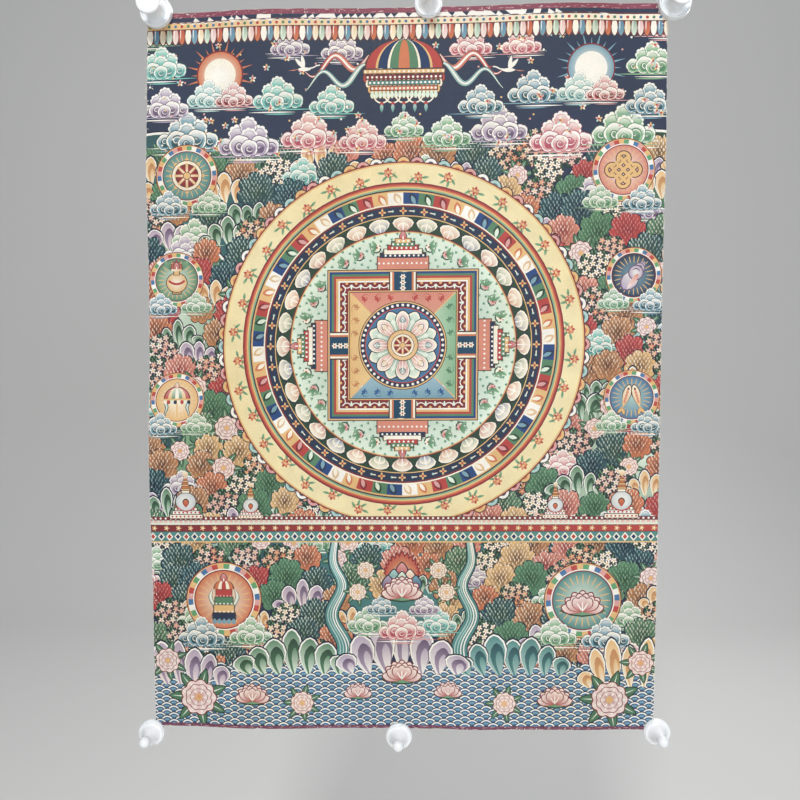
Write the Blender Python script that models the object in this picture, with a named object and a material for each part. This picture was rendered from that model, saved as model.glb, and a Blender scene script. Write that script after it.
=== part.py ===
"""Thangka painting on an unmounted sheet of canvas, held up by six white knob magnets.

Metres, +Z up. The painted face looks towards -Y. The back of the sheet touches the hanging
plane, y = 0, behind each magnet and stands a few millimetres off it in between. The origin is
on that plane, at the middle of the sheet's top edge.
"""

import math

import bmesh
import bpy
import numpy as np

MM = 0.001

# ---------------------------------------------------------------- driving dimensions
SHEET_WIDTH = 500 * MM
SHEET_HEIGHT = 705 * MM
SHEET_THICKNESS = 1.0 * MM
GRID_COLUMNS = 24
GRID_ROWS = 34

# How far each corner of the cut sheet lies from the true rectangle, across and up.
CORNER_TOP_LEFT = (1.5 * MM, -2.1 * MM)
CORNER_TOP_RIGHT = (0.9 * MM, 1.2 * MM)
CORNER_BOTTOM_LEFT = (-0.9 * MM, -1.5 * MM)
CORNER_BOTTOM_RIGHT = (-1.7 * MM, 2.2 * MM)

# How far the middle of each cut edge bows out past the line between its corners.
BOW_TOP = 1.5 * MM
BOW_BOTTOM = 1.0 * MM
BOW_LEFT = 1.6 * MM
BOW_RIGHT = 0.3 * MM
BOW_POWER = 4

# The sheet's soft bulges off the hanging plane.
# Columns: centre across, centre up, half width across, half width up, height; all in mm,
# measured from the middle of the sheet.
BULGES = (
    (-130, 352, 62, 90, 4.0),
    (150, 352, 50, 90, 3.6),
    (-140, -352, 55, 80, 4.2),
    (62, -352, 45, 80, 2.6),
    (170, -352, 40, 60, 1.2),
    (-250, 195, 80, 62, 5.0),
    (-250, -85, 95, 80, 7.0),
    (250, 225, 80, 70, 3.0),
    (250, -120, 60, 90, 1.2),
    (20, 20, 150, 200, 2.5),
)

# Round each magnet the sheet is pressed flat, and its bulges rise over the next stretch.
FLAT_RADIUS = 34 * MM
RISE_LENGTH = 42 * MM

# Clearance between the sheet's face and the back of each magnet.
SEAT_GAP = 0.3 * MM
MAGNET_SEGMENTS = 32

# Small magnet: a thick disc, a cone with hollow sides and a round-ended grip.
SMALL_BASE_RADIUS = 13.3 * MM
SMALL_BASE_THICKNESS = 5.0 * MM
SMALL_SHOULDER_RADIUS = 11.4 * MM
SMALL_NECK_RADIUS = 3.9 * MM
SMALL_NECK_DEPTH = 16.5 * MM
SMALL_GRIP_RADIUS = 5.4 * MM
SMALL_LENGTH = 28.0 * MM

# Large magnet: a thick disc with a raised rim, a dished waist and a wide flat grip.
LARGE_BASE_RADIUS = 15.8 * MM
LARGE_BASE_THICKNESS = 5.6 * MM
LARGE_SHOULDER_RADIUS = 13.4 * MM
LARGE_WAIST_RADIUS = 7.8 * MM
LARGE_WAIST_DEPTH = 13.0 * MM
LARGE_GRIP_RADIUS = 11.6 * MM
LARGE_LENGTH = 28.6 * MM

BASE_TAPER = 0.5 * MM
EDGE_ROUND = 0.9 * MM

# Columns: name, centre across and up from the middle of the sheet in mm, size.
MAGNETS = (
    ("magnet_top_left", -238.5, 351.5, "large"),
    ("magnet_top_middle", 23.8, 355.2, "small"),
    ("magnet_top_right", 256.2, 353.0, "large"),
    ("magnet_bottom_left", -254.4, -360.4, "small"),
    ("magnet_bottom_middle", -4.3, -360.0, "small"),
    ("magnet_bottom_right", 251.1, -351.6, "small"),
)


# ---------------------------------------------------------------- the sheet's shape
def bow(share):
    """Rise of a bowed edge, 0 at its ends and 1 over its middle."""
    return 1 - np.abs(2 * share - 1) ** BOW_POWER


def smooth_step(value):
    """Ease from 0 to 1 with level ends."""
    value = np.clip(value, 0, 1)
    return value * value * (3 - 2 * value)


def sheet_outline_point(across, up):
    """Place on the flat sheet, from its middle, for shares of its width and height.

    The left and right edges are followed up, the top and bottom edges across, and the
    inside is blended between them.
    """
    left = -SHEET_WIDTH / 2 - BOW_LEFT * bow(up)
    left += CORNER_BOTTOM_LEFT[0] * (1 - up) + CORNER_TOP_LEFT[0] * up
    right = SHEET_WIDTH / 2 + BOW_RIGHT * bow(up)
    right += CORNER_BOTTOM_RIGHT[0] * (1 - up) + CORNER_TOP_RIGHT[0] * up
    bottom = -SHEET_HEIGHT / 2 - BOW_BOTTOM * bow(across)
    bottom += CORNER_BOTTOM_LEFT[1] * (1 - across) + CORNER_BOTTOM_RIGHT[1] * across
    top = SHEET_HEIGHT / 2 + BOW_TOP * bow(across)
    top += CORNER_TOP_LEFT[1] * (1 - across) + CORNER_TOP_RIGHT[1] * across
    return left * (1 - across) + right * across, bottom * (1 - up) + top * up


def sheet_lift(x, z):
    """Distance of the sheet's back from the hanging plane: soft hills, none at the magnets."""
    lift = np.zeros_like(x)
    for centre_x, centre_z, half_x, half_z, height in BULGES:
        far = ((x - centre_x * MM) / (half_x * MM)) ** 2 + ((z - centre_z * MM) / (half_z * MM)) ** 2
        lift += height * MM * np.exp(-far)
    for _, centre_x, centre_z, _ in MAGNETS:
        distance = np.hypot(x - centre_x * MM, z - centre_z * MM)
        lift *= smooth_step((distance - FLAT_RADIUS) / RISE_LENGTH)
    return lift


def sheet_top():
    """Height of the top edge above the sheet's middle, at mid width."""
    return float(sheet_outline_point(np.array(0.5), np.array(1.0))[1])


# ---------------------------------------------------------------- materials
def principled(name, colour, roughness):
    """Material with one Principled BSDF."""
    material = bpy.data.materials.new(name)
    material.use_nodes = True
    shader = material.node_tree.nodes["Principled BSDF"]
    shader.inputs["Base Color"].default_value = (*colour, 1)
    shader.inputs["Roughness"].default_value = roughness
    shader.inputs["Metallic"].default_value = 0
    material.diffuse_color = (*colour, 1)
    return material


def add_object(name, mesh, material):
    """Put a mesh in the scene under its node's name."""
    mesh.materials.append(material)
    part = bpy.data.objects.new(name, mesh)
    bpy.context.scene.collection.objects.link(part)
    return part


# ---------------------------------------------------------------- canvas
def build_canvas():
    """One closed sheet: a painted front grid, a bare back grid and the cut edge between."""
    columns, rows = GRID_COLUMNS + 1, GRID_ROWS + 1
    up, across = np.meshgrid(np.linspace(0, 1, rows), np.linspace(0, 1, columns), indexing="ij")
    x, z = sheet_outline_point(across, up)
    lift = sheet_lift(x, z)
    z = z - sheet_top()
    back = np.stack([x, -lift, z], axis=-1).reshape(-1, 3)
    front = np.stack([x, -lift - SHEET_THICKNESS, z], axis=-1).reshape(-1, 3)

    number = np.arange(rows * columns).reshape(rows, columns)
    cell = np.stack([number[:-1, :-1], number[:-1, 1:], number[1:, 1:], number[1:, :-1]], axis=-1)
    back_faces = cell.reshape(-1, 4)
    front_faces = back_faces[:, ::-1] + rows * columns
    rim = np.concatenate([number[0, :-1], number[:-1, -1], number[-1, :0:-1], number[:0:-1, 0]])
    following = np.roll(rim, -1)
    other = rows * columns
    edge_faces = np.stack([following, rim, rim + other, following + other], axis=-1)

    mesh = bpy.data.meshes.new("canvas")
    faces = np.concatenate([back_faces[:, ::-1], front_faces[:, ::-1], edge_faces])
    mesh.from_pydata(np.concatenate([back, front]).tolist(), [], faces.tolist())
    mesh.update()
    make_outward(mesh)
    mesh.shade_smooth()
    mesh.set_sharp_from_angle(angle=math.radians(40))
    return add_object("canvas", mesh, principled("painted_canvas", (0.36, 0.32, 0.28), 0.75))


def make_outward(mesh):
    """Turn every face of a closed mesh outwards."""
    shape = bmesh.new()
    shape.from_mesh(mesh)
    bmesh.ops.recalc_face_normals(shape, faces=shape.faces)
    shape.to_mesh(mesh)
    shape.free()


# ---------------------------------------------------------------- magnets
def quarter_round(radius, depth, size, steps):
    """Profile points of a rounded rim, from the side of a disc onto its front face."""
    turn = np.linspace(0, math.pi / 2, steps)
    return [(radius - size + size * math.cos(a), depth - size + size * math.sin(a)) for a in turn]


def hollow_run(start, end, fullness, steps):
    """Profile points of a hollow flank between two points, its inward sag set by fullness."""
    points = []
    for share in np.linspace(0, 1, steps):
        radius = start[0] + (end[0] - start[0]) * share ** fullness
        points.append((radius, start[1] + (end[1] - start[1]) * share))
    return points


def disc_base(radius, thickness):
    """Profile of the magnet's base: back edge, tapered side and rounded front rim."""
    back = [(radius - BASE_TAPER, 0.0), (radius, BASE_TAPER)]
    return back + quarter_round(radius - BASE_TAPER, thickness, EDGE_ROUND, 4)


def small_profile():
    """Radius and depth from the base's back edge to the tip of the grip."""
    points = disc_base(SMALL_BASE_RADIUS, SMALL_BASE_THICKNESS)
    shoulder = (SMALL_SHOULDER_RADIUS, SMALL_BASE_THICKNESS)
    neck = (SMALL_NECK_RADIUS, SMALL_NECK_DEPTH)
    points += hollow_run(shoulder, neck, 0.62, 6)
    centre = SMALL_LENGTH - SMALL_GRIP_RADIUS
    start = -math.radians(38)
    for turn in np.linspace(start, math.radians(78), 7):
        points.append((SMALL_GRIP_RADIUS * math.cos(turn), centre + SMALL_GRIP_RADIUS * math.sin(turn)))
    return points, SMALL_LENGTH


def large_profile():
    """Radius and depth from the base's back edge to the middle of the grip's face."""
    points = disc_base(LARGE_BASE_RADIUS, LARGE_BASE_THICKNESS)
    shoulder = (LARGE_SHOULDER_RADIUS, LARGE_BASE_THICKNESS - EDGE_ROUND / 3)
    waist = (LARGE_WAIST_RADIUS, LARGE_WAIST_DEPTH)
    points += hollow_run(shoulder, waist, 0.5, 6)
    side = LARGE_LENGTH - 5.5 * EDGE_ROUND
    points += hollow_run(waist, (LARGE_GRIP_RADIUS, side), 2.2, 5)[1:]
    points += quarter_round(LARGE_GRIP_RADIUS, LARGE_LENGTH - EDGE_ROUND, 1.6 * EDGE_ROUND, 5)
    points.append((LARGE_GRIP_RADIUS * 0.5, LARGE_LENGTH - EDGE_ROUND / 4))
    return points, LARGE_LENGTH


def turn_profile(name, profile, tip_depth):
    """Closed turned mesh about the Y axis, its back on y = 0 and its tip towards -Y."""
    rings = len(profile)
    angle = np.arange(MAGNET_SEGMENTS) * 2 * math.pi / MAGNET_SEGMENTS
    radius, depth = np.array(profile).T
    x = radius[:, None] * np.cos(angle)
    z = radius[:, None] * np.sin(angle)
    y = np.broadcast_to(-depth[:, None], x.shape)
    points = np.stack([x, y, z], axis=-1).reshape(-1, 3).tolist()
    points += [(0, 0, 0), (0, -tip_depth, 0)]
    back_centre, tip = rings * MAGNET_SEGMENTS, rings * MAGNET_SEGMENTS + 1

    faces = []
    for here in range(MAGNET_SEGMENTS):
        there = (here + 1) % MAGNET_SEGMENTS
        faces.append((here, there, back_centre))
        for ring in range(rings - 1):
            low, high = ring * MAGNET_SEGMENTS, (ring + 1) * MAGNET_SEGMENTS
            faces.append((low + here, high + here, high + there, low + there))
        last = (rings - 1) * MAGNET_SEGMENTS
        faces.append((last + there, last + here, tip))
    mesh = bpy.data.meshes.new(name)
    mesh.from_pydata(points, [], faces)
    mesh.update()
    make_outward(mesh)
    mesh.shade_smooth()
    mesh.set_sharp_from_angle(angle=math.radians(50))
    return mesh


def build_magnets():
    """Six magnets, each a turned solid seated on the sheet's face at its own place."""
    top = sheet_top()
    plastic = principled("white_plastic", (0.86, 0.87, 0.87), 0.35)
    for name, across, up, size in MAGNETS:
        profile, tip_depth = large_profile() if size == "large" else small_profile()
        magnet = add_object(name, turn_profile(name, profile, tip_depth), plastic)
        magnet.location = (across * MM, -SHEET_THICKNESS - SEAT_GAP, up * MM - top)


# ---------------------------------------------------------------- build
def clear_scene():
    """Remove every object that the file starts with."""
    for old in list(bpy.data.objects):
        bpy.data.objects.remove(old, do_unlink=True)


clear_scene()
build_canvas()
build_magnets()
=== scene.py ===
"""Look of the painted canvas sheet and its six knob magnets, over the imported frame.

Metres, +Z up, the painted face towards -Y, the origin at the middle of the sheet's top edge.
"""

import itertools
import math

import bpy
import numpy as np
from mathutils import Matrix, Vector
from mathutils.bvhtree import BVHTree
from mathutils.geometry import delaunay_2d_cdt


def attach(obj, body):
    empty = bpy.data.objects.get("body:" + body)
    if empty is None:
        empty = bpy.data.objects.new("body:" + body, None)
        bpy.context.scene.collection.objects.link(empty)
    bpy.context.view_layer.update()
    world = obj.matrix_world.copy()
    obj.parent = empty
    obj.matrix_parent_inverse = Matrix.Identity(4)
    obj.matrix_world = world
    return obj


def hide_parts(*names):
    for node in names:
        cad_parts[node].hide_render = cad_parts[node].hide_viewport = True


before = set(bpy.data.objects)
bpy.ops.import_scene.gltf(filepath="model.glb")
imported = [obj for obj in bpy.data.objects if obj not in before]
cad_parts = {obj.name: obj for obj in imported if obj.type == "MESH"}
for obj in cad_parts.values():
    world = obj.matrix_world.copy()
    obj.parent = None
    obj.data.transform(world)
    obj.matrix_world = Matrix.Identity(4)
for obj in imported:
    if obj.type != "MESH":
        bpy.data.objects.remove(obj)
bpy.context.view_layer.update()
MM = 0.001
TAU = 2 * math.pi


# ---------------------------------------------------------------- floor, light and camera
# A pale seamless studio sweep, far enough behind the hanging sheet to be seen past from every
# side. The key lamp hangs high above, a little left of the middle, as the magnets' shadows
# tell, with a wide fill on the right, a lamp behind for the bare back and one for the sweep.
def linear(code):
    """sRGB hex to linear light: the two-part curve of the sRGB standard."""
    value = np.array([int(code[i:i + 2], 16) for i in (1, 3, 5)]) / 255
    return np.where(value <= 0.04045, value / 12.92, ((value + 0.055) / 1.055) ** 2.4)


def add_node(tree, kind, settings=(), links=(), values=(), stops=()):
    """Add a shader node, set its properties, its socket values, its links in and its ramp's stops."""
    node = tree.nodes.new("ShaderNode" + kind)
    for name, value in dict(settings).items():
        setattr(node, name, value)
    for name, value in dict(values).items():
        node.inputs[name].default_value = value
    for name, source in dict(links).items():
        tree.links.new(source, node.inputs[name])
    for (position, code), stop in zip(stops, node.color_ramp.elements if stops else ()):
        stop.position = position
        stop.color = (*linear(code), 1)
    return node


def new_material(name, **values):
    """Material with one Principled shader, its plain values set on the shader's own sockets."""
    material = bpy.data.materials.new(name)
    material.use_nodes = True
    tree = material.node_tree
    shader = tree.nodes["Principled BSDF"]
    for socket, value in values.items():
        shader.inputs[socket.replace("_", " ")].default_value = value
    return material, tree, shader


def mesh_object(name, points, faces, material, smooth=True):
    """Object at the origin from arrays of points in metres and equal-sided faces."""
    mesh = bpy.data.meshes.new(name)
    sides = faces.shape[1]
    mesh.vertices.add(len(points))
    mesh.vertices.foreach_set("co", np.asarray(points, np.float32).ravel())
    mesh.loops.add(faces.size)
    mesh.loops.foreach_set("vertex_index", np.asarray(faces, np.int32).ravel())
    mesh.polygons.add(len(faces))
    mesh.polygons.foreach_set("loop_start", np.arange(len(faces), dtype=np.int32) * sides)
    mesh.polygons.foreach_set("use_smooth", np.full(len(faces), smooth))
    mesh.update(calc_edges=True)
    mesh.materials.append(material)
    thing = bpy.data.objects.new(name, mesh)
    bpy.context.scene.collection.objects.link(thing)
    return thing


def soft_lamp(name, place, target, width, watts, colour):
    """Square area lamp at a place, turned to face a target."""
    data = bpy.data.lights.new(name, "AREA")
    data.size = width
    data.energy = watts
    data.color = colour
    lamp = bpy.data.objects.new(name, data)
    lamp.location = place
    lamp.rotation_mode = "QUATERNION"
    lamp.rotation_quaternion = (Vector(target) - Vector(place)).to_track_quat("-Z", "Y")
    bpy.context.scene.collection.objects.link(lamp)


FLOOR_Z = -1.25
BACKDROP_Y = 2.6
SWEEP = 0.7

turn = np.linspace(0, TAU / 4, 13)
profile_y = np.concatenate([[-3.6], BACKDROP_Y - SWEEP + SWEEP * np.sin(turn), [BACKDROP_Y]])
profile_z = np.concatenate([[FLOOR_Z], FLOOR_Z + SWEEP - SWEEP * np.cos(turn), [2.8]])
sweep_x = np.array([-4.5, 4.5])
floor_points = np.stack(np.broadcast_arrays(sweep_x[:, None], profile_y, profile_z), axis=-1).reshape(-1, 3)
count = len(profile_y)
near = np.arange(count - 1)
floor_faces = np.stack([near, near + count, near + count + 1, near + 1], axis=-1)
paper, paper_tree, paper_shader = new_material("studio_paper", Roughness=0.9)
paper_shader.inputs["Base Color"].default_value = (*linear("#dededc"), 1)
floor = mesh_object("floor", floor_points, floor_faces, paper)

soft_lamp("key_lamp", (-0.3, -2.4, 1.7), (0.0, 0.0, -0.36), 0.45, 57, (1.0, 0.99, 0.97))
soft_lamp("fill_lamp", (0.8, -2.4, -0.25), (0.0, 0.0, -0.45), 0.9, 20, (0.95, 0.97, 1.0))
soft_lamp("back_lamp", (0.8, 1.7, 0.9), (0.0, 0.0, -0.36), 1.2, 22, (1.0, 1.0, 1.0))
soft_lamp("backdrop_lamp", (0.0, 0.7, 1.7), (0.0, 2.6, -0.7), 2.6, 5, (1.0, 1.0, 1.0))

world = bpy.data.worlds.new("studio_air")
world.use_nodes = True
world.node_tree.nodes["Background"].inputs["Color"].default_value = (*linear("#e9edf2"), 1)
world.node_tree.nodes["Background"].inputs["Strength"].default_value = 0.3
bpy.context.scene.world = world
bpy.context.scene.view_settings.view_transform = "Standard"

# The camera stands 0.79 m off, a little right of the sheet's middle, and looks slightly down.
lens = bpy.data.cameras.new("camera")
lens.lens = 36
lens.sensor_width = 36
lens.clip_start = 0.02
camera = bpy.data.objects.new("camera", lens)
camera.location = (0.02346, -0.78527, -0.33690)
camera.rotation_euler = (math.radians(90 - 2.911), 0, math.radians(1.954))
bpy.context.scene.collection.objects.link(camera)
bpy.context.scene.camera = camera


# ---------------------------------------------------------------- canvas
# The painted sheet: one cut length of plain-woven cotton, primed white on its face and bare on
# its back, 500 x 705 mm. It is cut by hand and unhemmed, and only the magnets hold it, so it
# stands off the hanging plane in soft bulges between them.
WIDE, TALL = 500, 705  # mm, laid flat
SHEET_WIDTH = WIDE * MM
SHEET_HEIGHT = TALL * MM
SHEET_THICKNESS = 1.0 * MM
CORNERS = {"top_left": (1.5, -2.1), "top_right": (0.9, 1.2), "bottom_left": (-0.9, -1.5),
           "bottom_right": (-1.7, 2.2)}
BOWS = {"top": 1.5, "bottom": 1.0, "left": 1.6, "right": 0.3}
# Columns: centre across, centre up, half width across, half width up, height; mm from the middle.
BULGES = (
    (-130, 352, 62, 90, 4.0),
    (150, 352, 50, 90, 3.6),
    (-140, -352, 55, 80, 4.2),
    (62, -352, 45, 80, 2.6),
    (170, -352, 40, 60, 1.2),
    (-250, 195, 80, 62, 5.0),
    (-250, -85, 95, 80, 7.0),
    (250, 225, 80, 70, 3.0),
    (250, -120, 60, 90, 1.2),
    (20, 20, 150, 200, 2.5),
)
# Columns: name, centre across and up from the middle of the sheet in mm, size.
MAGNETS = (
    ("magnet_top_left", -238.5, 351.5, "large"),
    ("magnet_top_middle", 23.8, 355.2, "small"),
    ("magnet_top_right", 256.2, 353.0, "large"),
    ("magnet_bottom_left", -254.4, -360.4, "small"),
    ("magnet_bottom_middle", -4.3, -360.0, "small"),
    ("magnet_bottom_right", 251.1, -351.6, "small"),
)
CANVAS_COLUMNS, CANVAS_ROWS = 125, 176


def bow(share):
    """Rise of a bowed edge: one less the fourth power of the distance from its middle."""
    return 1 - np.abs(2 * share - 1) ** 4


def smooth_step(value):
    """Ease from 0 to 1 with level ends: three squares less two cubes."""
    value = np.clip(value, 0, 1)
    return value * value * (3 - 2 * value)


def sheet_outline_point(across, up):
    """Place on the flat sheet: straight blends between its four bowed edges."""
    left = -SHEET_WIDTH / 2 - BOWS["left"] * MM * bow(up)
    left += MM * (CORNERS["bottom_left"][0] * (1 - up) + CORNERS["top_left"][0] * up)
    right = SHEET_WIDTH / 2 + BOWS["right"] * MM * bow(up)
    right += MM * (CORNERS["bottom_right"][0] * (1 - up) + CORNERS["top_right"][0] * up)
    bottom = -SHEET_HEIGHT / 2 - BOWS["bottom"] * MM * bow(across)
    bottom += MM * (CORNERS["bottom_left"][1] * (1 - across) + CORNERS["bottom_right"][1] * across)
    top = SHEET_HEIGHT / 2 + BOWS["top"] * MM * bow(across)
    top += MM * (CORNERS["top_left"][1] * (1 - across) + CORNERS["top_right"][1] * across)
    return left * (1 - across) + right * across, bottom * (1 - up) + top * up


def sheet_lift(x, z):
    """Distance of the sheet's back from the hanging plane.

    Each bulge is a bell, its height falling with the square of the distance; round each
    magnet the sheet lies flat to 34 mm and eases up over the next 42 mm.
    """
    lift = np.zeros_like(x)
    for centre_x, centre_z, half_x, half_z, height in BULGES:
        far = ((x / MM - centre_x) / half_x) ** 2 + ((z / MM - centre_z) / half_z) ** 2
        lift += height * MM * np.exp(-far)
    for _, centre_x, centre_z, _ in MAGNETS:
        distance = np.hypot(x / MM - centre_x, z / MM - centre_z)
        lift *= smooth_step((distance - 34) / 42)
    return lift


SHEET_TOP = float(sheet_outline_point(np.array(0.5), np.array(1.0))[1])


def on_sheet(across, up, out):
    """Points in metres at shares of the sheet's width and height, out from its back by out."""
    x, z = sheet_outline_point(across, up)
    return np.stack([x, -sheet_lift(x, z) - out, z - SHEET_TOP], axis=-1)


def wander(place, seed, waves=9, shortest=7.0):
    """Slow unevenness between -1 and 1: a few sine waves of random length and phase."""
    source = np.random.default_rng(seed)
    length = shortest * source.uniform(1, 12, waves)
    phase = source.uniform(0, TAU, waves)
    weight = source.uniform(0.4, 1, waves)
    swing = np.sin(np.asarray(place)[..., None] * TAU / length + phase)
    return (weight * swing).sum(axis=-1) / weight.sum()


# Columns: edge, place along it in mm, half width and depth of the nick in mm.
NICKS = (("bottom", -144.8, 2.4, 1.2), ("bottom", 13.7, 2.0, 1.0), ("right", -186.0, 3.0, 0.8),
         ("left", -210.0, 3.5, 0.7), ("right", 118.0, 2.5, 0.5), ("left", 262.0, 4.0, 0.5))


def cut_inset(edge, place):
    """Depth in mm by which the scissors' cut strays inside the true edge, nicks added."""
    seed = ("left", "right", "bottom", "top").index(edge) + 21
    inset = 0.22 + 0.22 * wander(place, seed)
    for side, centre, half, depth in NICKS:
        if side == edge:
            inset = inset + depth * np.exp(-((place - centre) / half) ** 2)
    return np.maximum(inset, 0)


rows, columns = CANVAS_ROWS + 1, CANVAS_COLUMNS + 1
up, across = np.meshgrid(np.linspace(0, 1, rows), np.linspace(0, 1, columns), indexing="ij")
place_x, place_z = (across - 0.5) * WIDE, (up - 0.5) * TALL
squeeze_x = cut_inset("left", place_z) * (1 - across) ** 24 - cut_inset("right", place_z) * across ** 24
squeeze_z = cut_inset("bottom", place_x) * (1 - up) ** 30 - cut_inset("top", place_x) * up ** 30
across, up = across + squeeze_x / WIDE, up + squeeze_z / TALL
back = on_sheet(across, up, 0.0).reshape(-1, 3)
front = on_sheet(across, up, SHEET_THICKNESS).reshape(-1, 3)
number = np.arange(rows * columns).reshape(rows, columns)
cell = np.stack([number[:-1, :-1], number[:-1, 1:], number[1:, 1:], number[1:, :-1]], axis=-1)
cell = cell.reshape(-1, 4)
rim = np.concatenate([number[0, :-1], number[:-1, -1], number[-1, :0:-1], number[:0:-1, 0]])
following = np.roll(rim, -1)
half = rows * columns
edge_faces = np.stack([following, rim, rim + half, following + half], axis=-1)
canvas_faces = np.concatenate([cell[:, ::-1], cell + half, edge_faces[:, ::-1]])

# Plain weave, drawn at 1.4 mm for a real 0.5 mm thread so that it holds in the render. A wave
# texture of scale 1 turns 20 times in TAU metres.
WEAVE_PITCH = 1.4 * MM


def plain_weave(tree, space):
    """Warp times weft: two sine waves across each other, each a little unsteady."""
    unsteady = {"Scale": TAU / (20 * WEAVE_PITCH), "Distortion": 0.6, "Detail": 1.0, "Detail Scale": 3.0}
    on_cloth = {"Vector": space.outputs["Object"]}
    warp, weft = (add_node(tree, "TexWave", {"bands_direction": way}, on_cloth, unsteady) for way in "XZ")
    return add_node(tree, "Math", {"operation": "MULTIPLY"}, {0: warp.outputs["Fac"], 1: weft.outputs["Fac"]})


# Raw cotton shows on the back and primer on the face: the mesh tells which by its primed value.
canvas_material, tree, shader = new_material("cotton_canvas_woven_and_primed", Roughness=0.88)
primed = add_node(tree, "Attribute", {"attribute_name": "primed"})
space = add_node(tree, "TexCoord")
weave = plain_weave(tree, space)
# Stains: soft clouds make the bare cloth uneven, and flecks are the cotton's seed husks.
stain = add_node(tree, "TexNoise", {}, {"Vector": space.outputs["Object"]},
                 {"Scale": 14.0, "Detail": 5.0, "Roughness": 0.62})
flecks = add_node(tree, "TexNoise", {}, {"Vector": space.outputs["Object"]},
                  {"Scale": 520.0, "Detail": 2.0, "Roughness": 0.5})
cloth = add_node(tree, "ValToRGB", {}, {"Fac": stain.outputs["Fac"]},
                 stops=((0.32, "#d9ccb2"), (0.68, "#e9e0cb")))
husk = add_node(tree, "MapRange", {}, {"Value": flecks.outputs["Fac"]},
                {"From Min": 0.7, "From Max": 0.78, "To Min": 0.0, "To Max": 0.55})
speckled = add_node(tree, "Mix", {"data_type": "RGBA"}, {}, {7: (*linear("#8f7b5c"), 1)})
tree.links.new(husk.outputs["Result"], speckled.inputs[0])
tree.links.new(cloth.outputs["Color"], speckled.inputs[6])
# Painted light and shade of the weave: the bare cloth's colour is darker in the hollows between the threads
# and lighter on their crowns.
shade = add_node(tree, "MapRange", {}, {"Value": weave.outputs[0]}, {"To Min": 0.78, "To Max": 1.1})
# Thick and thin threads: noise drawn out 60 times along each thread, 2.2 mm across for a real 0.6.
slub_values = []
for stretch in ((450.0, 1.0, 7.5), (7.5, 1.0, 450.0)):
    drawn_out = add_node(tree, "Mapping", {}, {"Vector": space.outputs["Object"]}, {"Scale": stretch})
    slub = add_node(tree, "TexNoise", {}, {"Vector": drawn_out.outputs["Vector"]},
                    {"Scale": 1.0, "Detail": 2.0, "Roughness": 0.5})
    slub_range = add_node(tree, "MapRange", {}, {"Value": slub.outputs["Fac"]},
                          {"From Min": 0.3, "From Max": 0.7, "To Min": 0.87, "To Max": 1.09})
    slub_values.append(slub_range.outputs[0])
slubs = add_node(tree, "Math", {"operation": "MULTIPLY"}, {0: slub_values[0], 1: slub_values[1]})
spun = add_node(tree, "Math", {"operation": "MULTIPLY"}, {0: shade.outputs[0], 1: slubs.outputs[0]})
threads = add_node(tree, "VectorMath", {"operation": "SCALE"},
                   {0: speckled.outputs[2], "Scale": spun.outputs[0]})
primer = add_node(tree, "ValToRGB", {}, {"Fac": stain.outputs["Fac"]},
                  stops=((0.3, "#e6e0d4"), (0.7, "#f1eee6")))
blend = add_node(tree, "Mix", {"data_type": "RGBA"})
tree.links.new(primed.outputs["Fac"], blend.inputs[0])
tree.links.new(threads.outputs[0], blend.inputs[6])
tree.links.new(primer.outputs["Color"], blend.inputs[7])
tree.links.new(blend.outputs[2], shader.inputs["Base Color"])
relief = add_node(tree, "Bump", {}, {"Height": weave.outputs[0]}, {"Strength": 0.5, "Distance": 0.2 * MM})
tree.links.new(relief.outputs["Normal"], shader.inputs["Normal"])

canvas = mesh_object("canvas_sheet", np.concatenate([back, front]), canvas_faces, canvas_material)
canvas.data.set_sharp_from_angle(angle=math.radians(40))
primed_values = canvas.data.attributes.new("primed", "FLOAT", "POINT")
primed_values.data.foreach_set("value", np.repeat([0.0, 1.0], half).astype(np.float32))
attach(canvas, "root")
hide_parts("canvas")


# ---------------------------------------------------------------- painting
# Opaque mineral colours in glue, brushed on the primed face with fine outlines, and worn along
# the cut edges. Its design is a general one: a palace mandala in a garden with clouds, lucky
# signs in roundels and a lotus pond. It lies on the canvas as a skin of coloured facets in
# five strips, cut from brush marks that are laid one over another, in mm from the middle.
NAVY, NIGHT, SLATE = "#2c3851", "#1c263c", "#4a5869"
TEAL, DEEP_TEAL, AQUA, SKY = "#578d8b", "#30545c", "#b2d3cf", "#7fa7b9"
GREEN, DEEP_GREEN, LEAF, MINT = "#5b8769", "#304939", "#8eb993", "#e4f3e2"
CREAM, GOLD, OCHRE, UMBER = "#fcf5e3", "#e8bf86", "#c28a5f", "#563b35"
ORANGE, CORAL, RED, CRIMSON = "#d37f5a", "#da907d", "#ba4a47", "#823338"
PINK, BLUSH, LILAC, PLUM, WHITE = "#dfa7a5", "#faebe5", "#b6a7be", "#6c5975", "#fbf9f3"

LAPIS, AZURE, ROSE = "#1f3a64", "#4f7ca2", "#a35168"
UP = 0.25 * TAU

laid = []
rng = np.random.default_rng(11)


def tones(colour, count):
    """One linear colour for each outline: a hex code for all, or one code each."""
    if isinstance(colour, str):
        return np.repeat(linear(colour)[None], count, axis=0)
    if isinstance(colour, np.ndarray):
        return np.broadcast_to(colour, (count, 3)).astype(float)
    table = np.array([linear(code) for code in colour])
    return table[np.arange(count) % len(table)]


def lay(outlines, first, last, origin, axis, radial):
    """Keep filled outlines for painting, later ones over earlier ones."""
    count = len(outlines)
    first = tones(first, count)
    last = first if last is None else tones(last, count)
    laid.append((outlines, first, last, origin, axis, np.full(count, radial)))


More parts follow.
